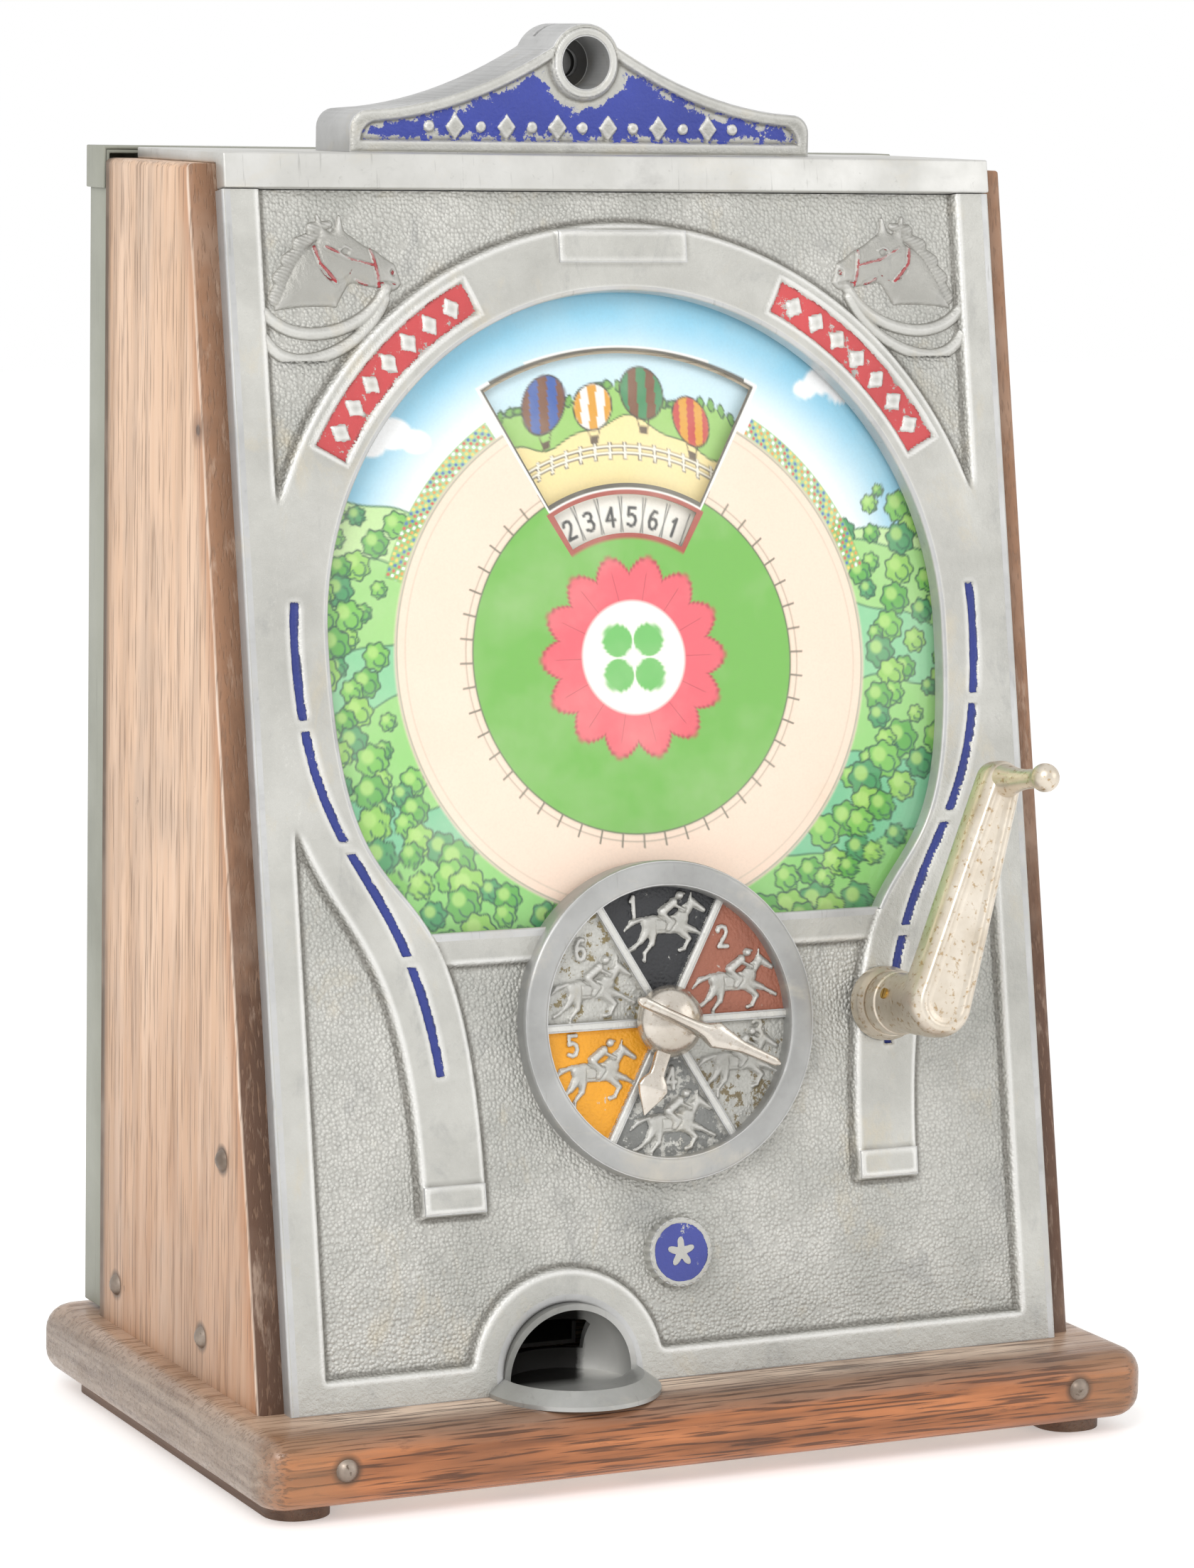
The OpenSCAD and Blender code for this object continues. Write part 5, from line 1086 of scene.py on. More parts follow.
# %% Dial fields
dial_steps = np.linspace(-DIAL_IN - 0.3, DIAL_IN + 0.3, 281)
DV, DU = np.meshgrid(DIAL_V + dial_steps, dial_steps, indexing="ij")
dr = np.hypot(DU, DV - DIAL_V)
DIAL_FLOOR, FIGURE_MM, NUMERAL_MM = -2 + PROUD, 28.5, 7.2
angle = np.degrees(np.arctan2(DV - DIAL_V, DU))
rib = np.abs((angle + 30) % 60 - 30) * math.radians(1) * dr - 1.3
dial_w = DIAL_FLOOR + 2.0 * within(rib, -0.6, 0.9)
dial_w = np.maximum(dial_w, (PROUD + 0.9) - 3 * smooth(dr, 9.8, 11.6))
FIELDS = [
    (1, 90, (3, 33), (-10, 41.5), "#2f3033", 0.97), (2, 30, (29, 11), (25, 29), "#ab6a54", 0.93),
    (3, -30, (29, -17.5), (37, -5.4), "#cdb98c", 0.36), (4, -90, (1, -38), (1, -20.5), "#a3a4a0", 0.6),
    (5, -150, (-28, -18), (-37, -6.4), "#f2a727", 0.97), (6, 150, (-28, 11.5), (-32, 27.5), "#d9c48c", 0.36),
]
figure = np.full(DU.shape, 50.0)
dial_paint = np.zeros(DU.shape + (4,))
for number, middle, spot, num_at, code, amount in FIELDS:
    own = np.abs((angle - middle + 180) % 360 - 180) < 30
    at = (spot[0], DIAL_V + spot[1])
    body = horse(DU, DV, at, FIGURE_MM, HORSE)
    rider = horse(DU, DV, at, FIGURE_MM, RIDER)
    numeral = digit(DU, DV, number, (num_at[0], DIAL_V + num_at[1]), NUMERAL_MM, 1.5)
    shape = np.minimum(np.minimum(body, rider), numeral)
    figure = np.where(own, shape, figure)
    rise = swell(body, 1.3, 0.9) + 0.4 * within(body, -0.4, 0.3)
    rise = np.maximum(rise, swell(rider, 1.7, 0.7) + 0.5 * within(rider, -0.3, 0.3))
    rise = np.maximum(rise, 1.2 * within(numeral, -0.4, 0.4))
    gap = np.abs(np.minimum(rider, 3) - 0.3) - 0.2
    rise -= 0.7 * within(gap, -0.2, 0.35) * (body < 0.2)
    cloth = np.maximum(np.abs(DU - at[0] + 2.6) - 2.0, np.abs(DV - at[1] - 1.4) - 2.0)
    rise -= 0.4 * within(np.abs(cloth) - 0.15, -0.15, 0.3) * (body < 0) * (rider > 0.5)
    dial_w = np.where(own, np.maximum(dial_w, DIAL_FLOOR + rise), dial_w)
    ground = own & (rib > 0.4)
    lay_paint(dial_paint, ground * amount * smooth(shape, -0.25, 0.25) * smooth(dr, 10.5, 11.5), code)
print("dial figures rise", round(float(np.max(dial_w) - DIAL_FLOOR), 2), "mm")

# %% [markdown]
# Wear and painted light follow the shape: where the height stands above its own blurred
# copy an edge is lightened as a painted highlight and loses paint, and where it lies below,
# a hollow is darkened with painted shade and dirt.
# A cell of the grid is kept when none of its corners lies in an opening.


# %% Wear, painted highlight and shade, and kept cells
def blurred(values, reach):
    """Mean over a square of side 2 reach + 1, by running sums along both axes."""
    for axis in (0, 1):
        pad = [(0, 0), (0, 0)]
        pad[axis] = (reach + 1, reach)
        total = np.cumsum(np.pad(values, pad, mode="edge"), axis=axis)
        width = 2 * reach + 1
        low = np.take(total, np.arange(values.shape[axis]), axis)
        high = np.take(total, np.arange(values.shape[axis]) + width, axis)
        values = (high - low) / width
    return values


def wear_and_shading(heights, reach, strength, stippled, darkening=0.0):
    """Detail colours: stipple, how far a height stands over its blurred copy (wear and painted highlight),
    and how far under (painted shade in hollows) or a darkening given, whichever is more.
    """
    over = (heights - blurred(heights, reach)) * strength
    shade_and_darkening = np.maximum(np.clip(-over, 0, 1), darkening)
    return np.stack([stippled, np.clip(over, 0, 1), shade_and_darkening, np.ones_like(heights)], -1)


def corners_of(cells):
    """The points that belong to at least one kept cell."""
    touched = np.zeros((cells.shape[0] + 1, cells.shape[1] + 1), bool)
    for rows in (slice(0, -1), slice(1, None)):
        for cols in (slice(0, -1), slice(1, None)):
            touched[rows, cols] |= cells
    return touched


def whole_cells(gone):
    """Cells none of whose four corners is gone."""
    return ~(gone[:-1, :-1] | gone[1:, :-1] | gone[:-1, 1:] | gone[1:, 1:])


# the front's detail: painted highlights on its edges and painted shade, with dirt, in its hollows
detail = wear_and_shading(front_w, 3, 1.5, stipple)
bright, darkened = [int((detail[..., k] > 0.3).sum()) for k in (1, 2)]
print("edges are bright at", bright, "points and hollows dirty at", darkened)

# %% [markdown]
# Points that fall just inside an opening are pulled back onto its outline, so the
# grid's own steps never show. The front is laid on the solid as three strips, and the
# heads and the dial are skins of their own.

# %% Skins of the front casting
OUT = (0, -math.cos(LEAN), math.sin(LEAN))


def cast_skin(name, points, cells, paint, detail, outward=OUT):
    """A painted casting's skin: the kept cells of a grid, with its paint, wear, painted highlights and
    painted shade, riding on the case.
    """
    skin = surface(name, points, keep=cells, outward=outward, sharp=70)
    touched = corners_of(cells)
    paint_points(skin, "paint", paint[touched])
    paint_points(skin, "detail", detail[touched])
    return settle(skin, "case", "cast_aluminium", cast_painted)


SNAP = 0.6
STRIPS = ((0, 190), (189, 379), (378, 567))
hole = np.minimum(np.minimum(window, arch_r - ARCH_IN), dial_r - DIAL_OUT + 5)
dv, du = np.gradient(hole, vs, us)
pull = np.where(np.abs(hole) < SNAP, SNAP - hole, 0)
grid = front(U + du * pull, V + dv * pull, front_w)
whole = whole_cells(hole < -SNAP)
for k, (low, high) in enumerate(STRIPS):
    rows = slice(low, high)
    cast_skin(f"front_relief_{k + 1}", grid[rows], whole[low:high - 1], paint[rows], detail[rows])
cells = whole_cells((figure_edge > 0.9) | (HU < -139.6))
# darkening: the heads and manes are made darker, and a dark ring is painted round heads, manes and bands as
# their shadow on the field
darkening = np.maximum(0.4 * within(np.minimum(head, mane), -0.6, 0.2), 0.9 * smooth(figure_edge, -0.5, 0.1))
head_detail = wear_and_shading(relief, 5, 1.0, np.zeros_like(relief), darkening)
for name, side in (("horse_head_left", 1), ("horse_head_right", -1)):
    cast_skin(name, front(side * HU, HV, FIELD + 0.04 + relief), cells, head_paint, head_detail)
ground = 0.4 * smooth(figure, 0, 0.6) * smooth(rib, 0, 1)
# the figures on the dial are made darker
dial_detail = wear_and_shading(dial_w, 6, 0.7, ground, 0.28 * within(figure, -0.5, 0.1))
cast_skin("dial_face", front(DU, DV, dial_w), whole_cells(dr > DIAL_IN + 0.3), dial_paint, dial_detail)

# %% [markdown]
# The small boss under the dial is round, so its grid is polar: rings of points about a
# middle. The edge is scalloped by a cosine of the angle, and a star stands on blue.

# %% Round boss
BOSS_V, BOSS_COLUMNS = 44.5, 192
boss_a = np.linspace(0, 2 * math.pi, BOSS_COLUMNS, endpoint=False)
BR, BA = np.meshgrid(np.linspace(0.15, 13.9, 62), boss_a, indexing="ij")
boss_w = FIELD - 0.3 + (PROUD + 1.3 - FIELD) * within(BR - 12.5 + 0.4 * np.cos(24 * BA), -0.6, 0.9)
star = BR - (3.9 + 1.5 * np.cos(5 * (BA - math.pi / 2)))
ground = np.maximum(BR - 10.6, -star)
boss_w -= 0.24 * within(ground, -0.4, 0.3)
boss_paint = np.zeros(BR.shape + (4,))
lay_paint(boss_paint, 0.9 * within(ground, -0.3, 0.2), "#4650a4")
boss_points = front(BR * np.cos(BA), BOSS_V + BR * np.sin(BA), boss_w)
boss_face = surface("boss_face", boss_points, wrap=True, fans=(0,), outward=OUT, sharp=70)
boss_detail = wear_and_shading(boss_w, 2, 0.3, np.zeros_like(boss_w))
for name, values in (("paint", boss_paint), ("detail", boss_detail)):
    flat = values.reshape(-1, 4)
    paint_points(boss_face, name, np.vstack([flat, flat[:BOSS_COLUMNS].mean(0)]))
settle(boss_face, "case", "cast_aluminium", cast_painted)

# %% [markdown]
# The openings get a rounded lip each: a short profile carried along the horseshoe's
# inner edge, the sill, the arch over the cup and the two long sides. The dial's ring is
# the same idea, turned about its axis.

# %% Lips, long edges and the dial's ring
LIP_END = -6.1
LIP = soften([[-2.6, 0.36], [0.42, 0.40], [0.42, LIP_END]], 1.3, 6)
upper = np.linspace(0, math.pi, 121)[:, None]
half = leg_in[leg_in[:, 1] > SILL_V - 0.4][::-1]
arc = np.hstack([SHOE_IN * np.cos(upper), SHOE_V + SHOE_IN * np.sin(upper)])
path = np.vstack([half[:-1], arc, (half * [-1, 1])[::-1][1:]])
reach = float(np.interp(SILL_V, leg_in[::-1, 1], leg_in[::-1, 0]))
SILL = LIP + [0, -1.0]
SILL[-1, 1] = LIP_END
stub = np.array([[44.5, SILL_V], [60, SILL_V], [reach + 1, SILL_V]])
turn = np.linspace(0, math.pi, 61)[:, None]
arch_top = np.hstack([ARCH_U + ARCH_IN * np.cos(turn), ARCH_V + ARCH_IN * np.sin(turn)])
arch = np.vstack([[[ARCH_U + ARCH_IN, 0.1]], arch_top, [[ARCH_U - ARCH_IN, 0.1]]])
FRONT_HALF = 152.5
tall = np.array([[FRONT_HALF, 0.1], [FRONT_HALF, 200], [FRONT_HALF, 424.9]])
lip_grids = [carried(LIP, path, left_of(path))]
lip_grids += [carried(SILL, stub * [hand, 1], (0, 1)) for hand in (1, -1)]
lip_grids += [carried(LIP, arch, left_of(arch))]
lip_grids += [carried(LIP, tall * [hand, 1], (hand, 0)) for hand in (1, -1)]
settle(join_grids("front_lips", lip_grids, OUT), "case", "cast_aluminium", cast_bare)
ring = soften([[57.75, LIP_END], [57.75, 4.45], [48.25, 4.45], [48.25, -1.75]], 2.4, 8)
dial_ring = surface("dial_ring", turned(ring, 0, DIAL_V, 160), wrap=True, outward=OUT)
settle(dial_ring, "case", "cast_aluminium", cast_ring)

# %% [markdown]
# The coin head stands upright on the top plate. Its face is drawn the same way, in its
# own measures x and z: a bare rim along the outline, a sunk blue panel, and a round
# boss with the coin's recess left open.

# %% Outline of the coin head
HEAD_HALF, SHOULDER_Z, PEAK_Z, SHOULDER_R = 92.5, 15.0, 47.1, 7.0
RIM, ORNAMENT_Z = 4.0, 9.5
head_x = np.linspace(-93, 93, 373)
head_z = np.linspace(0.1, 48, 121)
Z, X = np.meshgrid(head_z, head_x, indexing="ij")


def slope(x):
    """Height of the head's sloping shoulder at a distance from the middle."""
    return SHOULDER_Z + (PEAK_Z - SHOULDER_Z) * (1 - x / HEAD_HALF) ** 2


def head_line(inset=0.0):
    """Outline of the head as points (x, z): foot, rounded shoulder, long slope, mirrored."""
    shoulder = 84.5 - inset
    a = np.radians(np.linspace(0, 80, 9))
    top = np.linspace(shoulder - SHOULDER_R, 8.46, 40)
    cx, cz = HEAD_HALF - inset - SHOULDER_R, slope(shoulder) - inset - SHOULDER_R
    corner = np.stack([cx + SHOULDER_R * np.cos(a), cz + SHOULDER_R * np.sin(a)], 1)
    right = np.vstack([[[HEAD_HALF - inset, inset]], corner, np.stack([top, slope(top) - inset], 1)])
    return np.vstack([right, (right * [-1, 1])[::-1]])


print("outline of the head has", len(head_line()), "points")

# %% [markdown]
# The head's relief follows its outline, as the front's does: the rim by one distance,
# the sunk panel by another, and thirteen beads and lozenges along its foot. Blue paint
# has worn off round the boss and along the panel's edge.

# %% Relief and paint of the coin head
boss = np.hypot(X, Z - BOSS_Z)
body = np.minimum(polygon_distance(X, Z, head_line()), boss - 14.1)
inner = np.minimum(polygon_distance(X, Z, head_line(RIM)), boss - 10.1)
sunk = np.maximum(inner, 13.1 - boss)
rise = 0.3 - 1.8 * within(sunk, -1.2, 0.3)
rise = np.maximum(rise, 1.15 - 4 * smooth(boss, 12.2, 13.3))
rise += 0.35 * np.sin(np.clip(-body / RIM, 0, 1) * math.pi) * (sunk > 0) * (boss > 13)
rise -= 0.9 * within(boss, 9.3, 10.4)
rise -= 0.5 * smooth(body, -1.3, 0.0)
blue = within(sunk, -0.5, 0.1)
blue_paint = np.zeros(X.shape + (4,))
blue_paint[..., :3] = tint("#3d4ba9")
worn_off = 0.5 * within(boss, 13.5, 22)
blue_paint[..., 3] = blue * (0.42 + 0.56 * smooth(-sunk, 0.6, 6.0) - worn_off)
row = np.full(X.shape, 50.0)
for k in range(-6, 7):
    bead = np.hypot(X - 10.2 * k, Z - ORNAMENT_Z) - 1.9
    lozenge = (np.abs(X - 10.2 * k) / 3.6 + np.abs(Z - ORNAMENT_Z) / 4.6 - 1) * 2.8
    row = np.minimum(row, lozenge if k % 2 else bead)
rise += 1.1 * within(row, -0.4, 0.5) * (sunk < 0)
blue_paint[..., 3] *= smooth(row, -0.2, 0.5)
dz, dx = np.gradient(body, head_z, head_x)
pull = np.where(body > -0.1, np.clip(body + 0.1, 0, 1.2), 0)
face_x, face_z = X - dx * pull, Z - dz * pull
dz, dx = np.gradient(boss, head_z, head_x)
pull = np.where((boss < 9.6) & (boss > 8.6), 9.6 - boss, 0)
face_x, face_z = face_x + dx * pull, face_z + dz * pull
cells = whole_cells((body > 1.0) | (boss < 8.6))
points = np.stack([face_x, HEAD_Y - rise, HEAD_Z + np.maximum(face_z, 0.05)], -1) * MM
cast_skin("coin_head_face", points, cells, blue_paint, wear_and_shading(rise, 3, 1.6, 0.15 * blue), (0, -1, 0))

# %% [markdown]
# The print behind the glass is a sheet in polar measures, so its two windows end
# exactly on grid lines. Its picture is drawn with the same distances as the relief, and
# each colour is laid over the last, as a litho press does with one stone after another.


# %% Inks and the card's grid
def ink_over(ink, mask, code):
    """One flat colour over the print where the mask is 1."""
    ink += (tint(code) - ink) * np.clip(mask, 0, 1)[..., None]


def outlined(ink, shape, rim, edge_code, code, soft=0.3, only=1):
    """A shape in one colour inside a rim of another; soft is half the width of its blurred edge."""
    ink_over(ink, only * within(shape, -soft, soft), edge_code)
    ink_over(ink, only * within(shape + rim, -soft, soft), code)


def clover(x, y, size):
    """Distance to a four-leaf clover: four discs about a middle."""
    x, y = np.abs(x), np.abs(y)
    return np.hypot(x - 0.52 * size, y - 0.52 * size) - 0.5 * size


def in_window(radius):
    """Whether a radius lies in the number window or in the picture window."""
    return ((radius > NUMBER_IN) & (radius < NUMBER_OUT)) | ((radius > PICTURE_IN) & (radius < PICTURE_OUT))


def opaque(ink):
    """Colours with an alpha of 1."""
    return np.concatenate([ink, np.ones(ink.shape[:-1] + (1,))], -1)


CARD_V, CARD_W, BACK_W = 258.0, -9.26, -9.95
CARD_HALF, CARD_TOP, CARD_LOW = 129.0, 138.8, 101.0
NUMBER_IN, NUMBER_OUT, PICTURE_IN, PICTURE_OUT = 45, 59, 63, 111
RING_OUT, GREEN_R = 94, 63.5
WINDOW_COLUMNS, OTHER_COLUMNS = 240, 960
STOPS = [(0, 34), (NUMBER_IN, 20), (NUMBER_OUT, 6), (PICTURE_IN, 88), (PICTURE_OUT, 0)]
radii = [np.linspace(a, b, n, endpoint=False) for (a, n), (b, _) in zip(STOPS[:-1], STOPS[1:])]
radii = np.concatenate(radii)
ARCS = ((61, 119, WINDOW_COLUMNS), (119, 421, OTHER_COLUMNS))
angles = np.concatenate([np.linspace(a, b, n, endpoint=False) for a, b, n in ARCS])
angles = np.radians(angles)
c, s = np.cos(angles), np.sin(angles)
to_side = CARD_HALF / np.maximum(np.abs(c), 1e-6)
to_end = np.where(s > 0, CARD_TOP, CARD_LOW) / np.maximum(np.abs(s), 1e-6)
far = np.maximum(np.minimum(to_side, to_end), CARD_LOW)
outer = PICTURE_OUT + (far - PICTURE_OUT) * np.linspace(0, 1, 46)[:, None]
R = np.minimum(np.vstack([np.tile(radii[:, None], (1, len(angles))), outer]), far)
CX, CY = R * c, R * s
print("the card's grid has", R.shape[0], "rings of", R.shape[1], "points")

# %% [markdown]
# The landscape is laid from the back to the front: sky, clouds, hills from far to near,
# then trees, and flower beds along the ring. The places and sizes of the trees come from
# fractions of irrational steps, which spread evenly and are the same in every run.

# %% Landscape on the card
ink = np.empty(CX.shape + (3,))
high = smooth(R, 97, 126)[..., None]
ink[...] = tint("#f8fbf6") * (1 - high) + tint("#8fcde6") * high
for x, y, r in ((-98, 78, 6), (-90, 82, 8), (-81, 79, 6), (76, 96, 5), (83, 99, 7), (91, 95, 6)):
    ink_over(ink, within(np.hypot(CX - x, (CY - y) * 1.35) - r, -1.2, 0.6), "#ffffff")
HILLS = (
    (52, 8, 23, 0.4, "#c3e2a0"), (34, 6, 17, 2.1, "#a3d584"), (12, 7, 21, 4.0, "#8ccf9b"),
    (-16, 6, 15, 1.0, "#97d27a"), (-44, 6, 19, 3.1, "#79c596"), (-70, 5, 16, 0.2, "#8fcf74"),
)
for level, swing, wide, phase, code in HILLS:
    hill = CY - level - swing * np.sin(CX / wide + phase) - 1.2 * np.sin(CX / 5 + phase)
    outlined(ink, hill, 0.7, "#3f7a55", code, 0.4)
step = np.arange(150)
tree_a = np.radians(150 + 240 * (step * 0.618034 % 1))
tree_r = 97.5 + 31 * (step * 0.754878 % 1)
tree_x, tree_y = tree_r * np.cos(tree_a), tree_r * np.sin(tree_a)
size = 2.6 + 3.6 * (step * 0.569840 % 1) + 0.012 * (40 - tree_y)
LEAVES = ["#5fae4a", "#7cc257", "#4a9c62", "#93cb5d"]
for k in np.argsort(-tree_y):
    x, y, r = tree_x[k], tree_y[k], size[k]
    near = (np.abs(CX - x) < 2 * r) & (np.abs(CY - y) < 2 * r)
    nx, ny, leaf_ink = CX[near] - x, CY[near] - y, ink[near]
    crown = np.hypot(nx, ny) - r * (1 + 0.09 * np.cos(7 * np.arctan2(ny, nx) + k))
    outlined(leaf_ink, crown, 0.7, "#27573f", LEAVES[k % 4])
    shine = np.hypot(nx + 0.25 * r, ny - 0.3 * r) - 0.4 * r
    curl = np.abs(np.hypot(nx - 0.2 * r, ny + 0.2 * r) - 0.45 * r) - 0.3
    ink_over(leaf_ink, within(shine, -0.8, 0.8) * 0.8, "#b5dd7c")
    ink_over(leaf_ink, within(curl, -0.2, 0.3) * (nx > ny), "#2f6b4c")
    ink[near] = leaf_ink
theta = np.arctan2(CY, CX)
BED_R, BED_STEP, BED_ROW = 97, 1.9, 1.7
turn_at = np.degrees(theta) % 180 - 90
across = np.floor(theta * BED_R / BED_STEP).astype(int)
along = np.floor((R - RING_OUT) / BED_ROW).astype(int)
bloom = np.hypot(theta * BED_R % BED_STEP - BED_STEP / 2, (R - RING_OUT) % BED_ROW - BED_ROW / 2) - 0.62
bed = (along >= 0) & (along < 4) & (np.abs(np.abs(turn_at) - 52) < 20) & (CY > 0)
ink_over(ink, 0.8 * bed, "#86bd6b")
for k, code in enumerate(("#d65a55", "#f3d36a", "#ffffff", "#4c6fb4", "#e79a4b")):
    own = bed * ((across * 7 + along * 3 + across // 4) % 5 == k)
    ink_over(ink, own * within(bloom, -0.2, 0.2), code)
print("drawn", len(HILLS), "hills and", len(step), "trees")

# %% [markdown]
# Inside the landscape the print is geometry: a cream ring with fine lines and ticks, a
# green field, a red rosette with a clover, and a frame round each of the two windows.

# %% Rings, rosette and frames of the windows
RINGS = (
    (R - RING_OUT, 1, "#f8ddc8"), (np.abs(R - 93.2) - 0.3, 1, "#8d9a86"),
    (np.abs(R - 89.8) - 0.2, 0.5, "#b9ae98"), (R - GREEN_R, 1, "#72b649"),
    (np.abs(R - 63.6) - 0.35, 1, "#5f6f4a"), (np.abs(R - 66.4) - 0.2, 0.8, "#8a8370"),
)
for shape, amount, code in RINGS:
    ink_over(ink, within(shape, -0.3, 0.3) * amount, code)
tick = np.abs((np.degrees(theta) + 3.75) % 7.5 - 3.75) * math.radians(1) * R - 0.3
ink_over(ink, within(tick, -0.2, 0.3) * (R > GREEN_R) * (R < 68.5), "#77705f")
petal = R - 33 * (1 + 0.09 * np.abs(np.cos(7 * theta)) * 2 - 0.09)
outlined(ink, petal - 1.2, 1.2, "#b23a45", "#e8606c", 0.4)
ink_over(ink, within(np.abs(np.sin(7 * theta)) * R - 0.9, -0.3, 0.4) * (R < 31) * (R > 20), "#c74753")
ink_over(ink, within(R - 20.5, -0.3, 0.4), "#fdf8f0")
ink_over(ink, within(clover(CX, CY, 12), -0.4, 0.4), "#6fbf62")
apart = np.abs((np.degrees(theta) - 90 + 180) % 360 - 180)
FRAMES = ((42.8, 60.8, 31.4, "#a8483a"), (60.8, 112.6, 30.1, "#fffdf6"), (61.6, 112.0, 29.6, "#5b564c"))
for low, high, span, code in FRAMES:
    ink_over(ink, ((R > low) & (R < high) & (apart < span)).astype(float), code)
print("the print has colours from", round(ink.min(), 3), "to", round(ink.max(), 3))

# %% [markdown]
# The card is laid in three pieces of moderate size, with the cells of its windows left
# out. Its back is greyboard, where a far coarser grid is enough.

# %% Card and its back
opening = (np.arange(len(angles)) < WINDOW_COLUMNS) & in_window((R[:-1] + R[1:]) / 2)
card_points = front(CX, CARD_V + CY, CARD_W)
columns = np.arange(len(angles) + 1) % len(angles)
THIRDS = (("top", columns[:401]), ("left", columns[400:801]), ("right", columns[800:]))
for name, take in THIRDS:
    cells = ~opening[:, take[:-1]]
    card = surface(f"printed_card_{name}", card_points[:, take], keep=cells, outward=OUT, sharp=80)
    paint_points(card, "ink", opaque(ink)[:, take][corners_of(cells)])
    settle(card, "case", "printed_card", card_print, "print_card")
last = R.shape[0] - 1
back_rows = np.concatenate([np.arange(0, 34, 6), [34, 54, 60], np.arange(66, last + 1, 8), [last]])
take = columns[::8]
back_mid = (R[back_rows[:-1]] + R[back_rows[1:]])[:, take[:-1]] / 2
back_open = (take[:-1] < WINDOW_COLUMNS) & in_window(back_mid)
back_points = front(CX, CARD_V + CY, BACK_W)[back_rows][:, take]
backing = surface("card_backing", back_points, keep=~back_open, outward=-np.array(OUT), sharp=80)
settle(backing, "case", "printed_card", greyboard, "print_card")

# %% [markdown]
# The disc behind the card has six pictures and a ring of plain numbers. Each picture is
# a sand ground under hills with striped balloons, in other colours from panel to panel,
# so a spin shows a change. It is a thin skin on the disc's own face.

# %% Grounds on the disc
DISC_W, NUMBER_R = -12.9, 52
ring_r = np.concatenate([np.linspace(8, 44, 3, endpoint=False), np.linspace(44, 113.6, 118)])
ring_a = np.radians(np.linspace(0, 360, 820, endpoint=False))
DR, DA = np.meshgrid(ring_r, ring_a, indexing="ij")
DX, DY = DR * np.cos(DA), DR * np.sin(DA)
ink = np.empty(DR.shape + (3,))
ink[...] = tint("#f7e3a4")
deg = np.degrees(DA)
panel_no = np.floor(deg / 60).astype(int) % 6
off = -(deg % 60 - 30) * math.radians(1) * DR
ridge = DR - 84 - 3.0 * np.sin(off / 9 + panel_no) - 1.2 * np.sin(off / 3.7)
ink_over(ink, smooth(ridge, -0.5, 0.5), "#9ccb6c")
ink_over(ink, within(np.abs(ridge) - 0.25, -0.2, 0.3), "#4a6a3c")
far_ridge = DR - 96 - 2.5 * np.sin(off / 7 + 2 * panel_no)
ink_over(ink, smooth(far_ridge, -0.5, 0.5), "#cfe9f2")
hedge = np.abs(off % 4.2 - 2.1)
hedge = np.hypot(hedge, far_ridge - 0.4) - 2.0 - 0.5 * np.sin(off * 1.3)
outlined(ink, hedge, 0.7, "#33563a", "#79b054")
post = np.maximum(np.abs(off % 6 - 3) - 0.45, np.abs(DR - 75) - 3.0)
rail = np.minimum(np.abs(DR - 76.6) - 0.35, np.abs(DR - 74.2) - 0.35)
outlined(ink, np.minimum(post, rail) - 0.35, 0.35, "#6a5a43", "#fbf6e6", 0.2)
print("the disc's grid has", DR.shape[0], "rings of", DR.shape[1], "points")

# %% [markdown]
# Balloons are circles drawn out below, with gores by the sign of a stripe, ropes and a
# basket. Then come the numbers, six to a panel, each between two upright lines.

# %% Balloons and numbers on the disc
BALLOONS = ((-29, 96, 9.5), (-9, 88, 8.0), (11, 99, 9.0), (31, 90, 8.0))
TINTS = ["#c8443f", "#3a5ea8", "#f4f1e8", "#7a4b2e", "#e0a02f", "#3c8a58"]
for k in range(6):
    own = panel_no == k
    for n, (x, y, r) in enumerate(BALLOONS):
        y = y + 3 * ((n + k) % 3) - 2
        bag = np.hypot(off - x, (DR - y) * np.where(DR < y, 0.86, 1.0)) - r
        basket = np.maximum(np.abs(off - x) - 1.6, np.abs(DR - y + r * 1.55) - 1.4)
        rope_x = np.abs(off - x) - 1.5 - 0.25 * (DR - y + r * 1.5)
        ropes = np.maximum(np.abs(rope_x) - 0.25, np.abs(DR - y + r * 1.25) - 0.35 * r)
        gore = np.floor((off - x) / r * 2.5 + 20.5).astype(int) % 2 == 0
        ink_over(ink, own * within(np.minimum(basket, ropes), -0.3, 0.3), "#5d4a36")
        outlined(ink, bag, 0.6, "#3b332c", TINTS[(n + k) % 6], only=own)
        ink_over(ink, own * gore * within(bag + 0.6, -0.3, 0.3), TINTS[(n + k + 2) % 6])
ink_over(ink, smooth(60.5 - DR, -0.4, 0.4), "#f8f4ea")
for k in range(36):
    a = math.radians(90 - 24.2 + 9.7 * (k % 6) + 60 * (k // 6))
    lx = -(DX * -math.sin(a) + DY * math.cos(a))
    ly = DX * math.cos(a) + DY * math.sin(a)
    number = (k * 5 + k // 6) % 6 + 1
    near = (np.abs(lx) < 8) & (np.abs(ly - NUMBER_R) < 8)
    lx, ly = lx[near], ly[near]
    bars = np.maximum(np.abs(np.abs(lx) - 4.3) - 0.2, np.abs(ly - NUMBER_R) - 6.5)
    shape = np.minimum(digit(lx, ly, number, (0, NUMBER_R - 0.8), 6.6, 1.2), bars)
    mask = np.zeros(DR.shape)
    mask[near] = within(shape, -0.3, 0.3)
    ink_over(ink, mask, "#2f3033")
face = surface("disc_print", front(DX, CARD_V + DY, DISC_W), wrap=True, outward=OUT, sharp=80)
paint_points(face, "ink", opaque(ink))
settle(face, "disc", "printed_disc", disc_print)

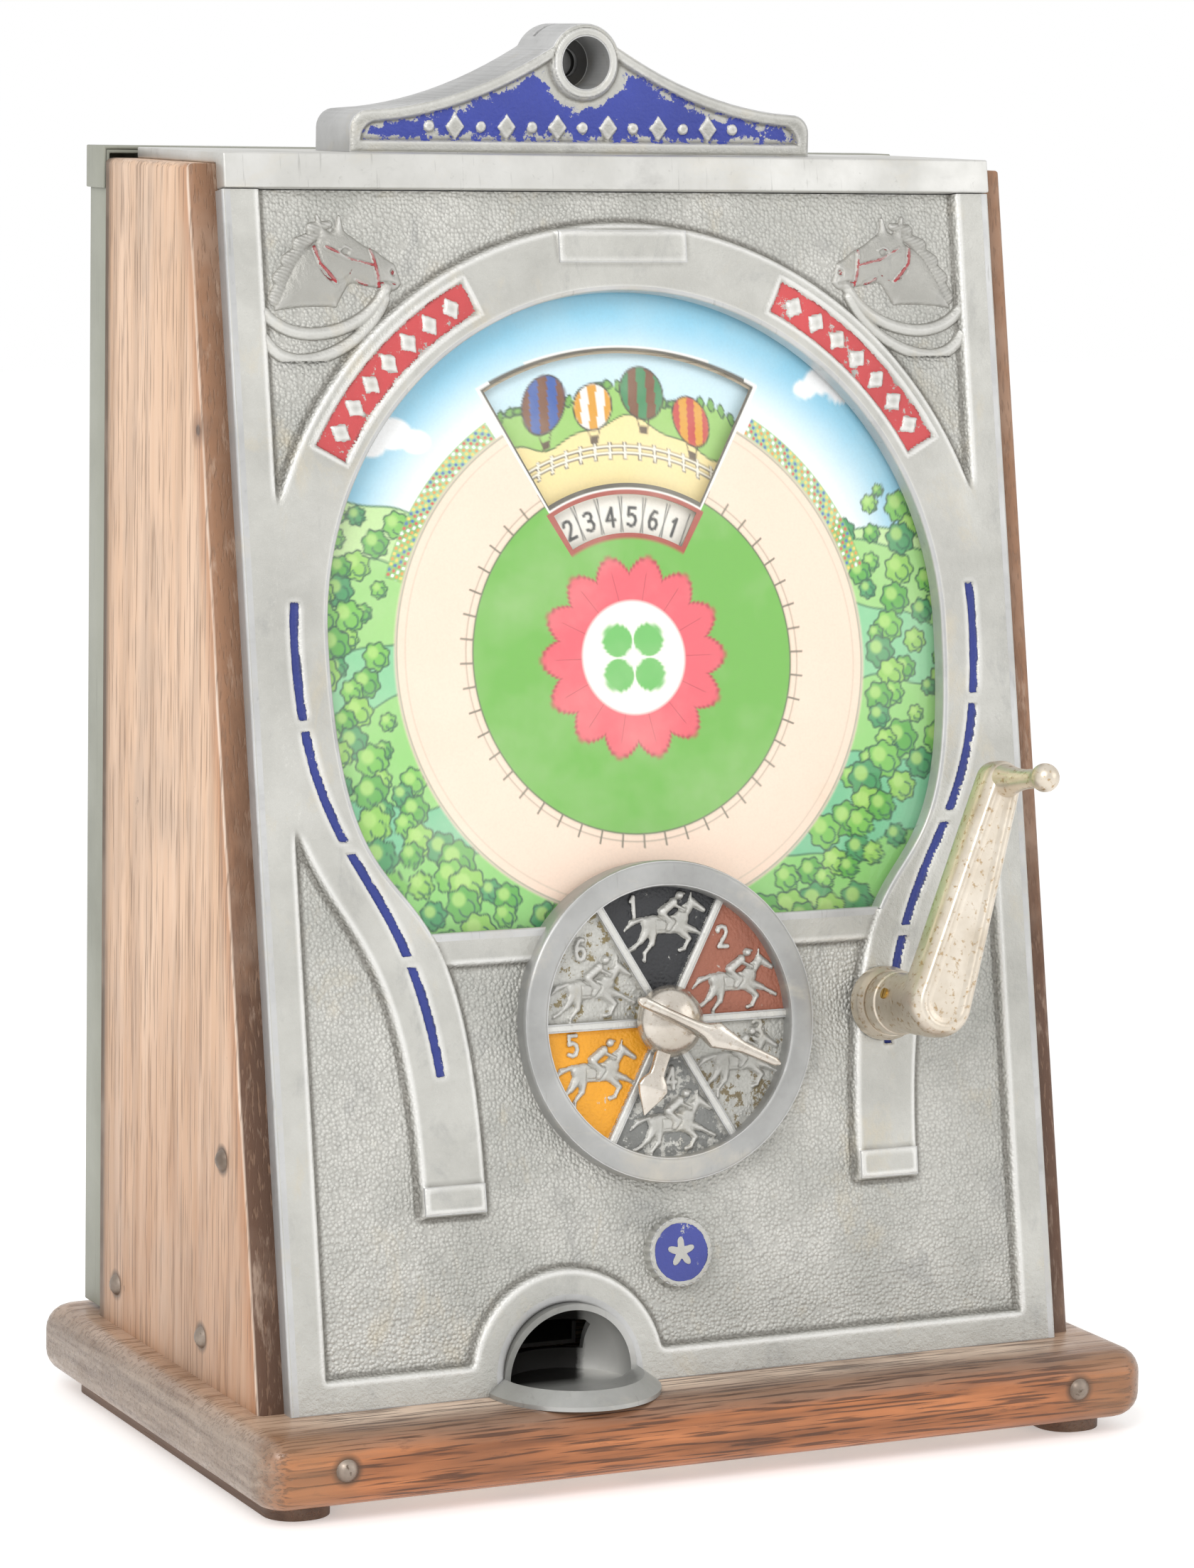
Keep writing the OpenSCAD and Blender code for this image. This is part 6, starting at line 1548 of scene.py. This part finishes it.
# %% [markdown]
# The handle is a tapered arm on a barrel, with a peg that ends in a ball. A tapered bar
# set in by n is again a tapered bar with both radii smaller by n, so one loop and a list
# of (inset, height) pairs give the soft edge, the raised rim and the dished face.

# %% Handle
HANDLE_U, HANDLE_V, TILT = 88.0, 128.0, math.radians(21.8)
ARM_LEN, ARM_R, TIP_R = 84.0, 12.5, 7.5


def bar_loop(r0, r1, length, steps=48):
    """Loop round a bar from a large end at the origin to a small end up the y axis."""
    lean = math.asin((r0 - r1) / length)
    low = np.linspace(math.pi - lean, 2 * math.pi + lean, steps)
    high = np.linspace(lean, math.pi - lean, steps)
    big = np.stack([r0 * np.cos(low), r0 * np.sin(low)], 1)
    small = np.stack([r1 * np.cos(high), length + r1 * np.sin(high)], 1)
    t = np.linspace(0, 1, 14)[1:-1, None]
    right = big[-1] + (small[0] - big[-1]) * t
    left = small[-1] + (big[0] - small[-1]) * t
    return np.vstack([big, right, small, left])


def handle_point(x, y, w):
    """Handle measures (x across, y along the arm) to the front, turned by the handle's tilt."""
    u = HANDLE_U + x * math.cos(TILT) + y * math.sin(TILT)
    v = HANDLE_V - x * math.sin(TILT) + y * math.cos(TILT)
    return front(u, v, w)


EDGE = [[6.8, 35.2], [0.1, 35.2], [0.0, 44.0], [2.6, 47.7], [4.2, 47.9], [5.6, 47.2], [7.1, 47.0]]
edge = soften(EDGE, 2.2, 6)
loops = np.stack([bar_loop(ARM_R - n, TIP_R - n, ARM_LEN) for n in edge[:, 0]])
arm = handle_point(loops[..., 0], loops[..., 1], np.repeat(edge[:, 1:], loops.shape[1], 1))
arm_obj = surface("handle_arm_body", arm, wrap=True, fans=(0, -1), sharp=50)
settle(arm_obj, "handle", "nickel_plate", nickel, "handle_arm")
BARREL = [[5.2, 8.4], [11.7, 8.4], [11.7, 14.5], [10.9, 15.2], [10.9, 27], [11.7, 28], [11.7, 36]]
barrel = soften(BARREL, 0.7, 4)
barrel_obj = surface("handle_barrel", turned(barrel, HANDLE_U, HANDLE_V, 72), wrap=True, sharp=40)
settle(barrel_obj, "handle", "nickel_plate", nickel, "handle_arm")
tip = (HANDLE_U + ARM_LEN * math.sin(TILT), HANDLE_V + ARM_LEN * math.cos(TILT))
bend = np.radians(np.linspace(-47, 89.9, 16))
BALL_R, BALL_W = 5.2, 73
peg = soften([[6.6, 40.0], [6.2, 46.6], [5.6, 48.6], [4.3, 53.5], [3.6, 59.5], [3.5, 66.5]], 1.6, 5)
ball = np.stack([BALL_R * np.cos(bend), BALL_W + BALL_R * np.sin(bend)], 1)
peg_obj = surface("handle_peg", turned(np.vstack([peg, ball]), *tip, 56), wrap=True, fans=(-1,), sharp=60)
settle(peg_obj, "handle", "nickel_plate", nickel, "handle_arm")

# %% [markdown]
# The pointer has a low dome, an arrow with a leaf-shaped tip that lies over the dial,
# and a thin upright finger bar. Arrow and bar are blades: a half-width along the length
# and a rounded section across, written as a superellipse.


# %% Selector pointer
def blade(length, half, low, high, turn_deg, at, power=0.6, steps=40):
    """A bar along one direction, superellipse in section: y = half |cos a|^p, w = middle + rise |sin a|^p."""
    a = np.linspace(0, 2 * math.pi, steps, endpoint=False)
    across = np.sign(np.cos(a)) * np.abs(np.cos(a)) ** power
    rise = np.sign(np.sin(a)) * np.abs(np.sin(a)) ** power
    x = np.tile(length[:, None], (1, steps))
    y = half[:, None] * across
    w = (low + high)[:, None] / 2 + (high - low)[:, None] / 2 * rise
    c, s = math.cos(math.radians(turn_deg)), math.sin(math.radians(turn_deg))
    return front(at[0] + x * c - y * s, at[1] + x * s + y * c, w)


hub = (0.0, DIAL_V)
a = np.radians(np.linspace(0, 89.5, 20))
dome = np.vstack([[[9.0, 2.5]], np.stack([13 * np.cos(a), 2.7 + 8.8 * np.sin(a) ** 1.15], 1)])
dome_obj = surface("pointer_dome", turned(dome, *hub, 80), wrap=True, fans=(-1,), outward=OUT, sharp=45)
settle(dome_obj, "selector", "nickel_plate", polished, "selector_pointer")
x = np.concatenate([np.linspace(3, 20, 12), np.linspace(20.6, 35, 22)])
half = np.interp(x, [3, 18, 20, 22.5, 25, 28, 32, 35], [3.4, 2.7, 3.0, 5.0, 5.9, 4.6, 2.0, 0.25])
high = np.interp(x, [3, 20, 25, 35], [6.5, 5.4, 5.6, 3.6])
arrow = blade(x, half, np.full(x.shape, 2.6), high, 249, hub)
blades = [("pointer_arrow", arrow)]
x = np.linspace(-20, 40, 84)
half = np.interp(x, [-20, -18.6, 4, 9, 13, 18, 24, 38, 40], [0.8, 1.8, 2.2, 3.0, 4.9, 3.6, 2.2, 1.6, 0.6])
high = np.interp(x, [-20, -18, 0, 12, 26, 38, 40], [16.0, 16.9, 16.9, 17.3, 17.9, 18.1, 17.4])
low = np.interp(x, [-20, -14, -7, 6, 12, 26, 40], [14.2, 13.0, 8.8, 8.8, 12.4, 13.6, 15.4])
blades.append(("pointer_finger", blade(x, half, low, high, 334, hub, 0.75)))
for name, points in blades:
    piece = surface(name, points, wrap=True, fans=(0, -1), sharp=50)
    settle(piece, "selector", "nickel_plate", polished, "selector_pointer")

# %% [markdown]
# The picture is taken with a long lens from the left and a little above, as the cabinet
# would be photographed for a sale. The camera's axes are built from its azimuth, its
# elevation and a slight roll, and the lens from its angle of view.

# %% Camera
SENSOR_MM, FOCAL_PER_WIDTH = 36.0, 7207 / 1680
EYE_MM = (-817.7, -1659.94, 494.3)
AZ, EL, ROLL = math.radians(-26.14), math.radians(7.98), math.radians(1.09)
right = np.array([math.cos(AZ), math.sin(AZ), 0.0])
back = np.array([math.sin(AZ) * math.cos(EL), -math.cos(AZ) * math.cos(EL), math.sin(EL)])
upward = np.cross(back, right)
c, s = math.cos(ROLL), math.sin(ROLL)
axes = np.stack([right * c + upward * s, upward * c - right * s, back], 1)
lens = bpy.data.cameras.new("camera")
lens.sensor_fit = "HORIZONTAL"
lens.sensor_width = SENSOR_MM
lens.lens = FOCAL_PER_WIDTH * SENSOR_MM
lens.clip_end = 50.0
camera = bpy.data.objects.new("camera", lens)
place = np.eye(4)
place[:3, :3], place[:3, 3] = axes, np.array(EYE_MM) * MM
camera.matrix_world = Matrix(place.tolist())
bpy.context.scene.collection.objects.link(camera)
bpy.context.scene.camera = camera
bpy.context.scene.view_settings.view_transform = "Standard"
print("camera lens", round(lens.lens, 1), "mm")

# %% [markdown]
# A big soft lamp stands to the left and a weak one to the right. The room is a plain
# light that looks white to the camera and in mirrors and is a little dimmer as a lamp,
# and the floor is white enough to leave only a soft shadow.


# %% Light, room and floor
def lamp(name, at, to, size, watts):
    """A square area lamp at a place, looking at a point."""
    light = bpy.data.lights.new(name, "AREA")
    light.size = size
    light.energy = watts
    obj = bpy.data.objects.new(name, light)
    way = np.asarray(at, float) - np.asarray(to, float)
    z = way / np.linalg.norm(way)
    x = np.cross([0, 0, 1.0], z)
    x /= np.linalg.norm(x)
    turn = np.eye(4)
    turn[:3, :3], turn[:3, 3] = np.stack([x, np.cross(z, x), z], 1), at
    obj.matrix_world = Matrix(turn.tolist())
    bpy.context.scene.collection.objects.link(obj)
    obj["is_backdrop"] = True
    return obj


ROOM_LIGHT, FLOOR_GLOW, FLOOR_HALF = 0.76, 0.34, 6.0
lamp("key_lamp", (-1.3, -1.5, 1.7), (0, 0, 0.25), 1.1, 24)
lamp("fill_lamp", (1.6, -1.3, 0.9), (0, 0, 0.25), 1.2, 5)
world = bpy.data.worlds.new("room")
bpy.context.scene.world = world
world.use_nodes = True
tree = world.node_tree
paths = add(tree, "ShaderNodeLightPath").outputs
seen = paths["Is Camera Ray"]
for kind in ("Is Glossy Ray", "Is Transmission Ray"):
    seen = add(tree, "ShaderNodeMath", {"operation": "ADD"}, {0: seen, 1: paths[kind]}).outputs[0]
sky = tree.nodes["Background"]
links = {0: seen, 1: 0, 2: 1, 3: ROOM_LIGHT, 4: 1.0}
strength = add(tree, "ShaderNodeMapRange", {"clamp": True}, links).outputs[0]
tree.links.new(strength, sky.inputs["Strength"])
sky.inputs["Color"].default_value = (1, 1, 1, 1)
floor_mat, _, shader, _ = start("floor_paper_white")
shader.inputs["Base Color"].default_value = (0.93, 0.93, 0.93, 1)
shader.inputs["Roughness"].default_value = 0.9
shader.inputs["Specular IOR Level"].default_value = 0.1
shader.inputs["Emission Color"].default_value = (1, 1, 1, 1)
shader.inputs["Emission Strength"].default_value = FLOOR_GLOW
ends = [-FLOOR_HALF, FLOOR_HALF]
plane = np.stack(np.meshgrid(ends, ends, [0.0], indexing="ij"), -1).reshape(2, 2, 3)
floor_obj = surface("floor", plane, outward=(0, 0, 1))
floor_obj.data.materials.append(floor_mat)
floor_obj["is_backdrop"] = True
print("lit by two lamps and a room of strength", ROOM_LIGHT)

# %% [markdown]
# The box of the finished scene, without the lamps and the floor, is printed.

# %% Box of the finished scene
low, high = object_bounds()
print("scene from", [round(float(x), 4) for x in low], "to", [round(float(x), 4) for x in high])
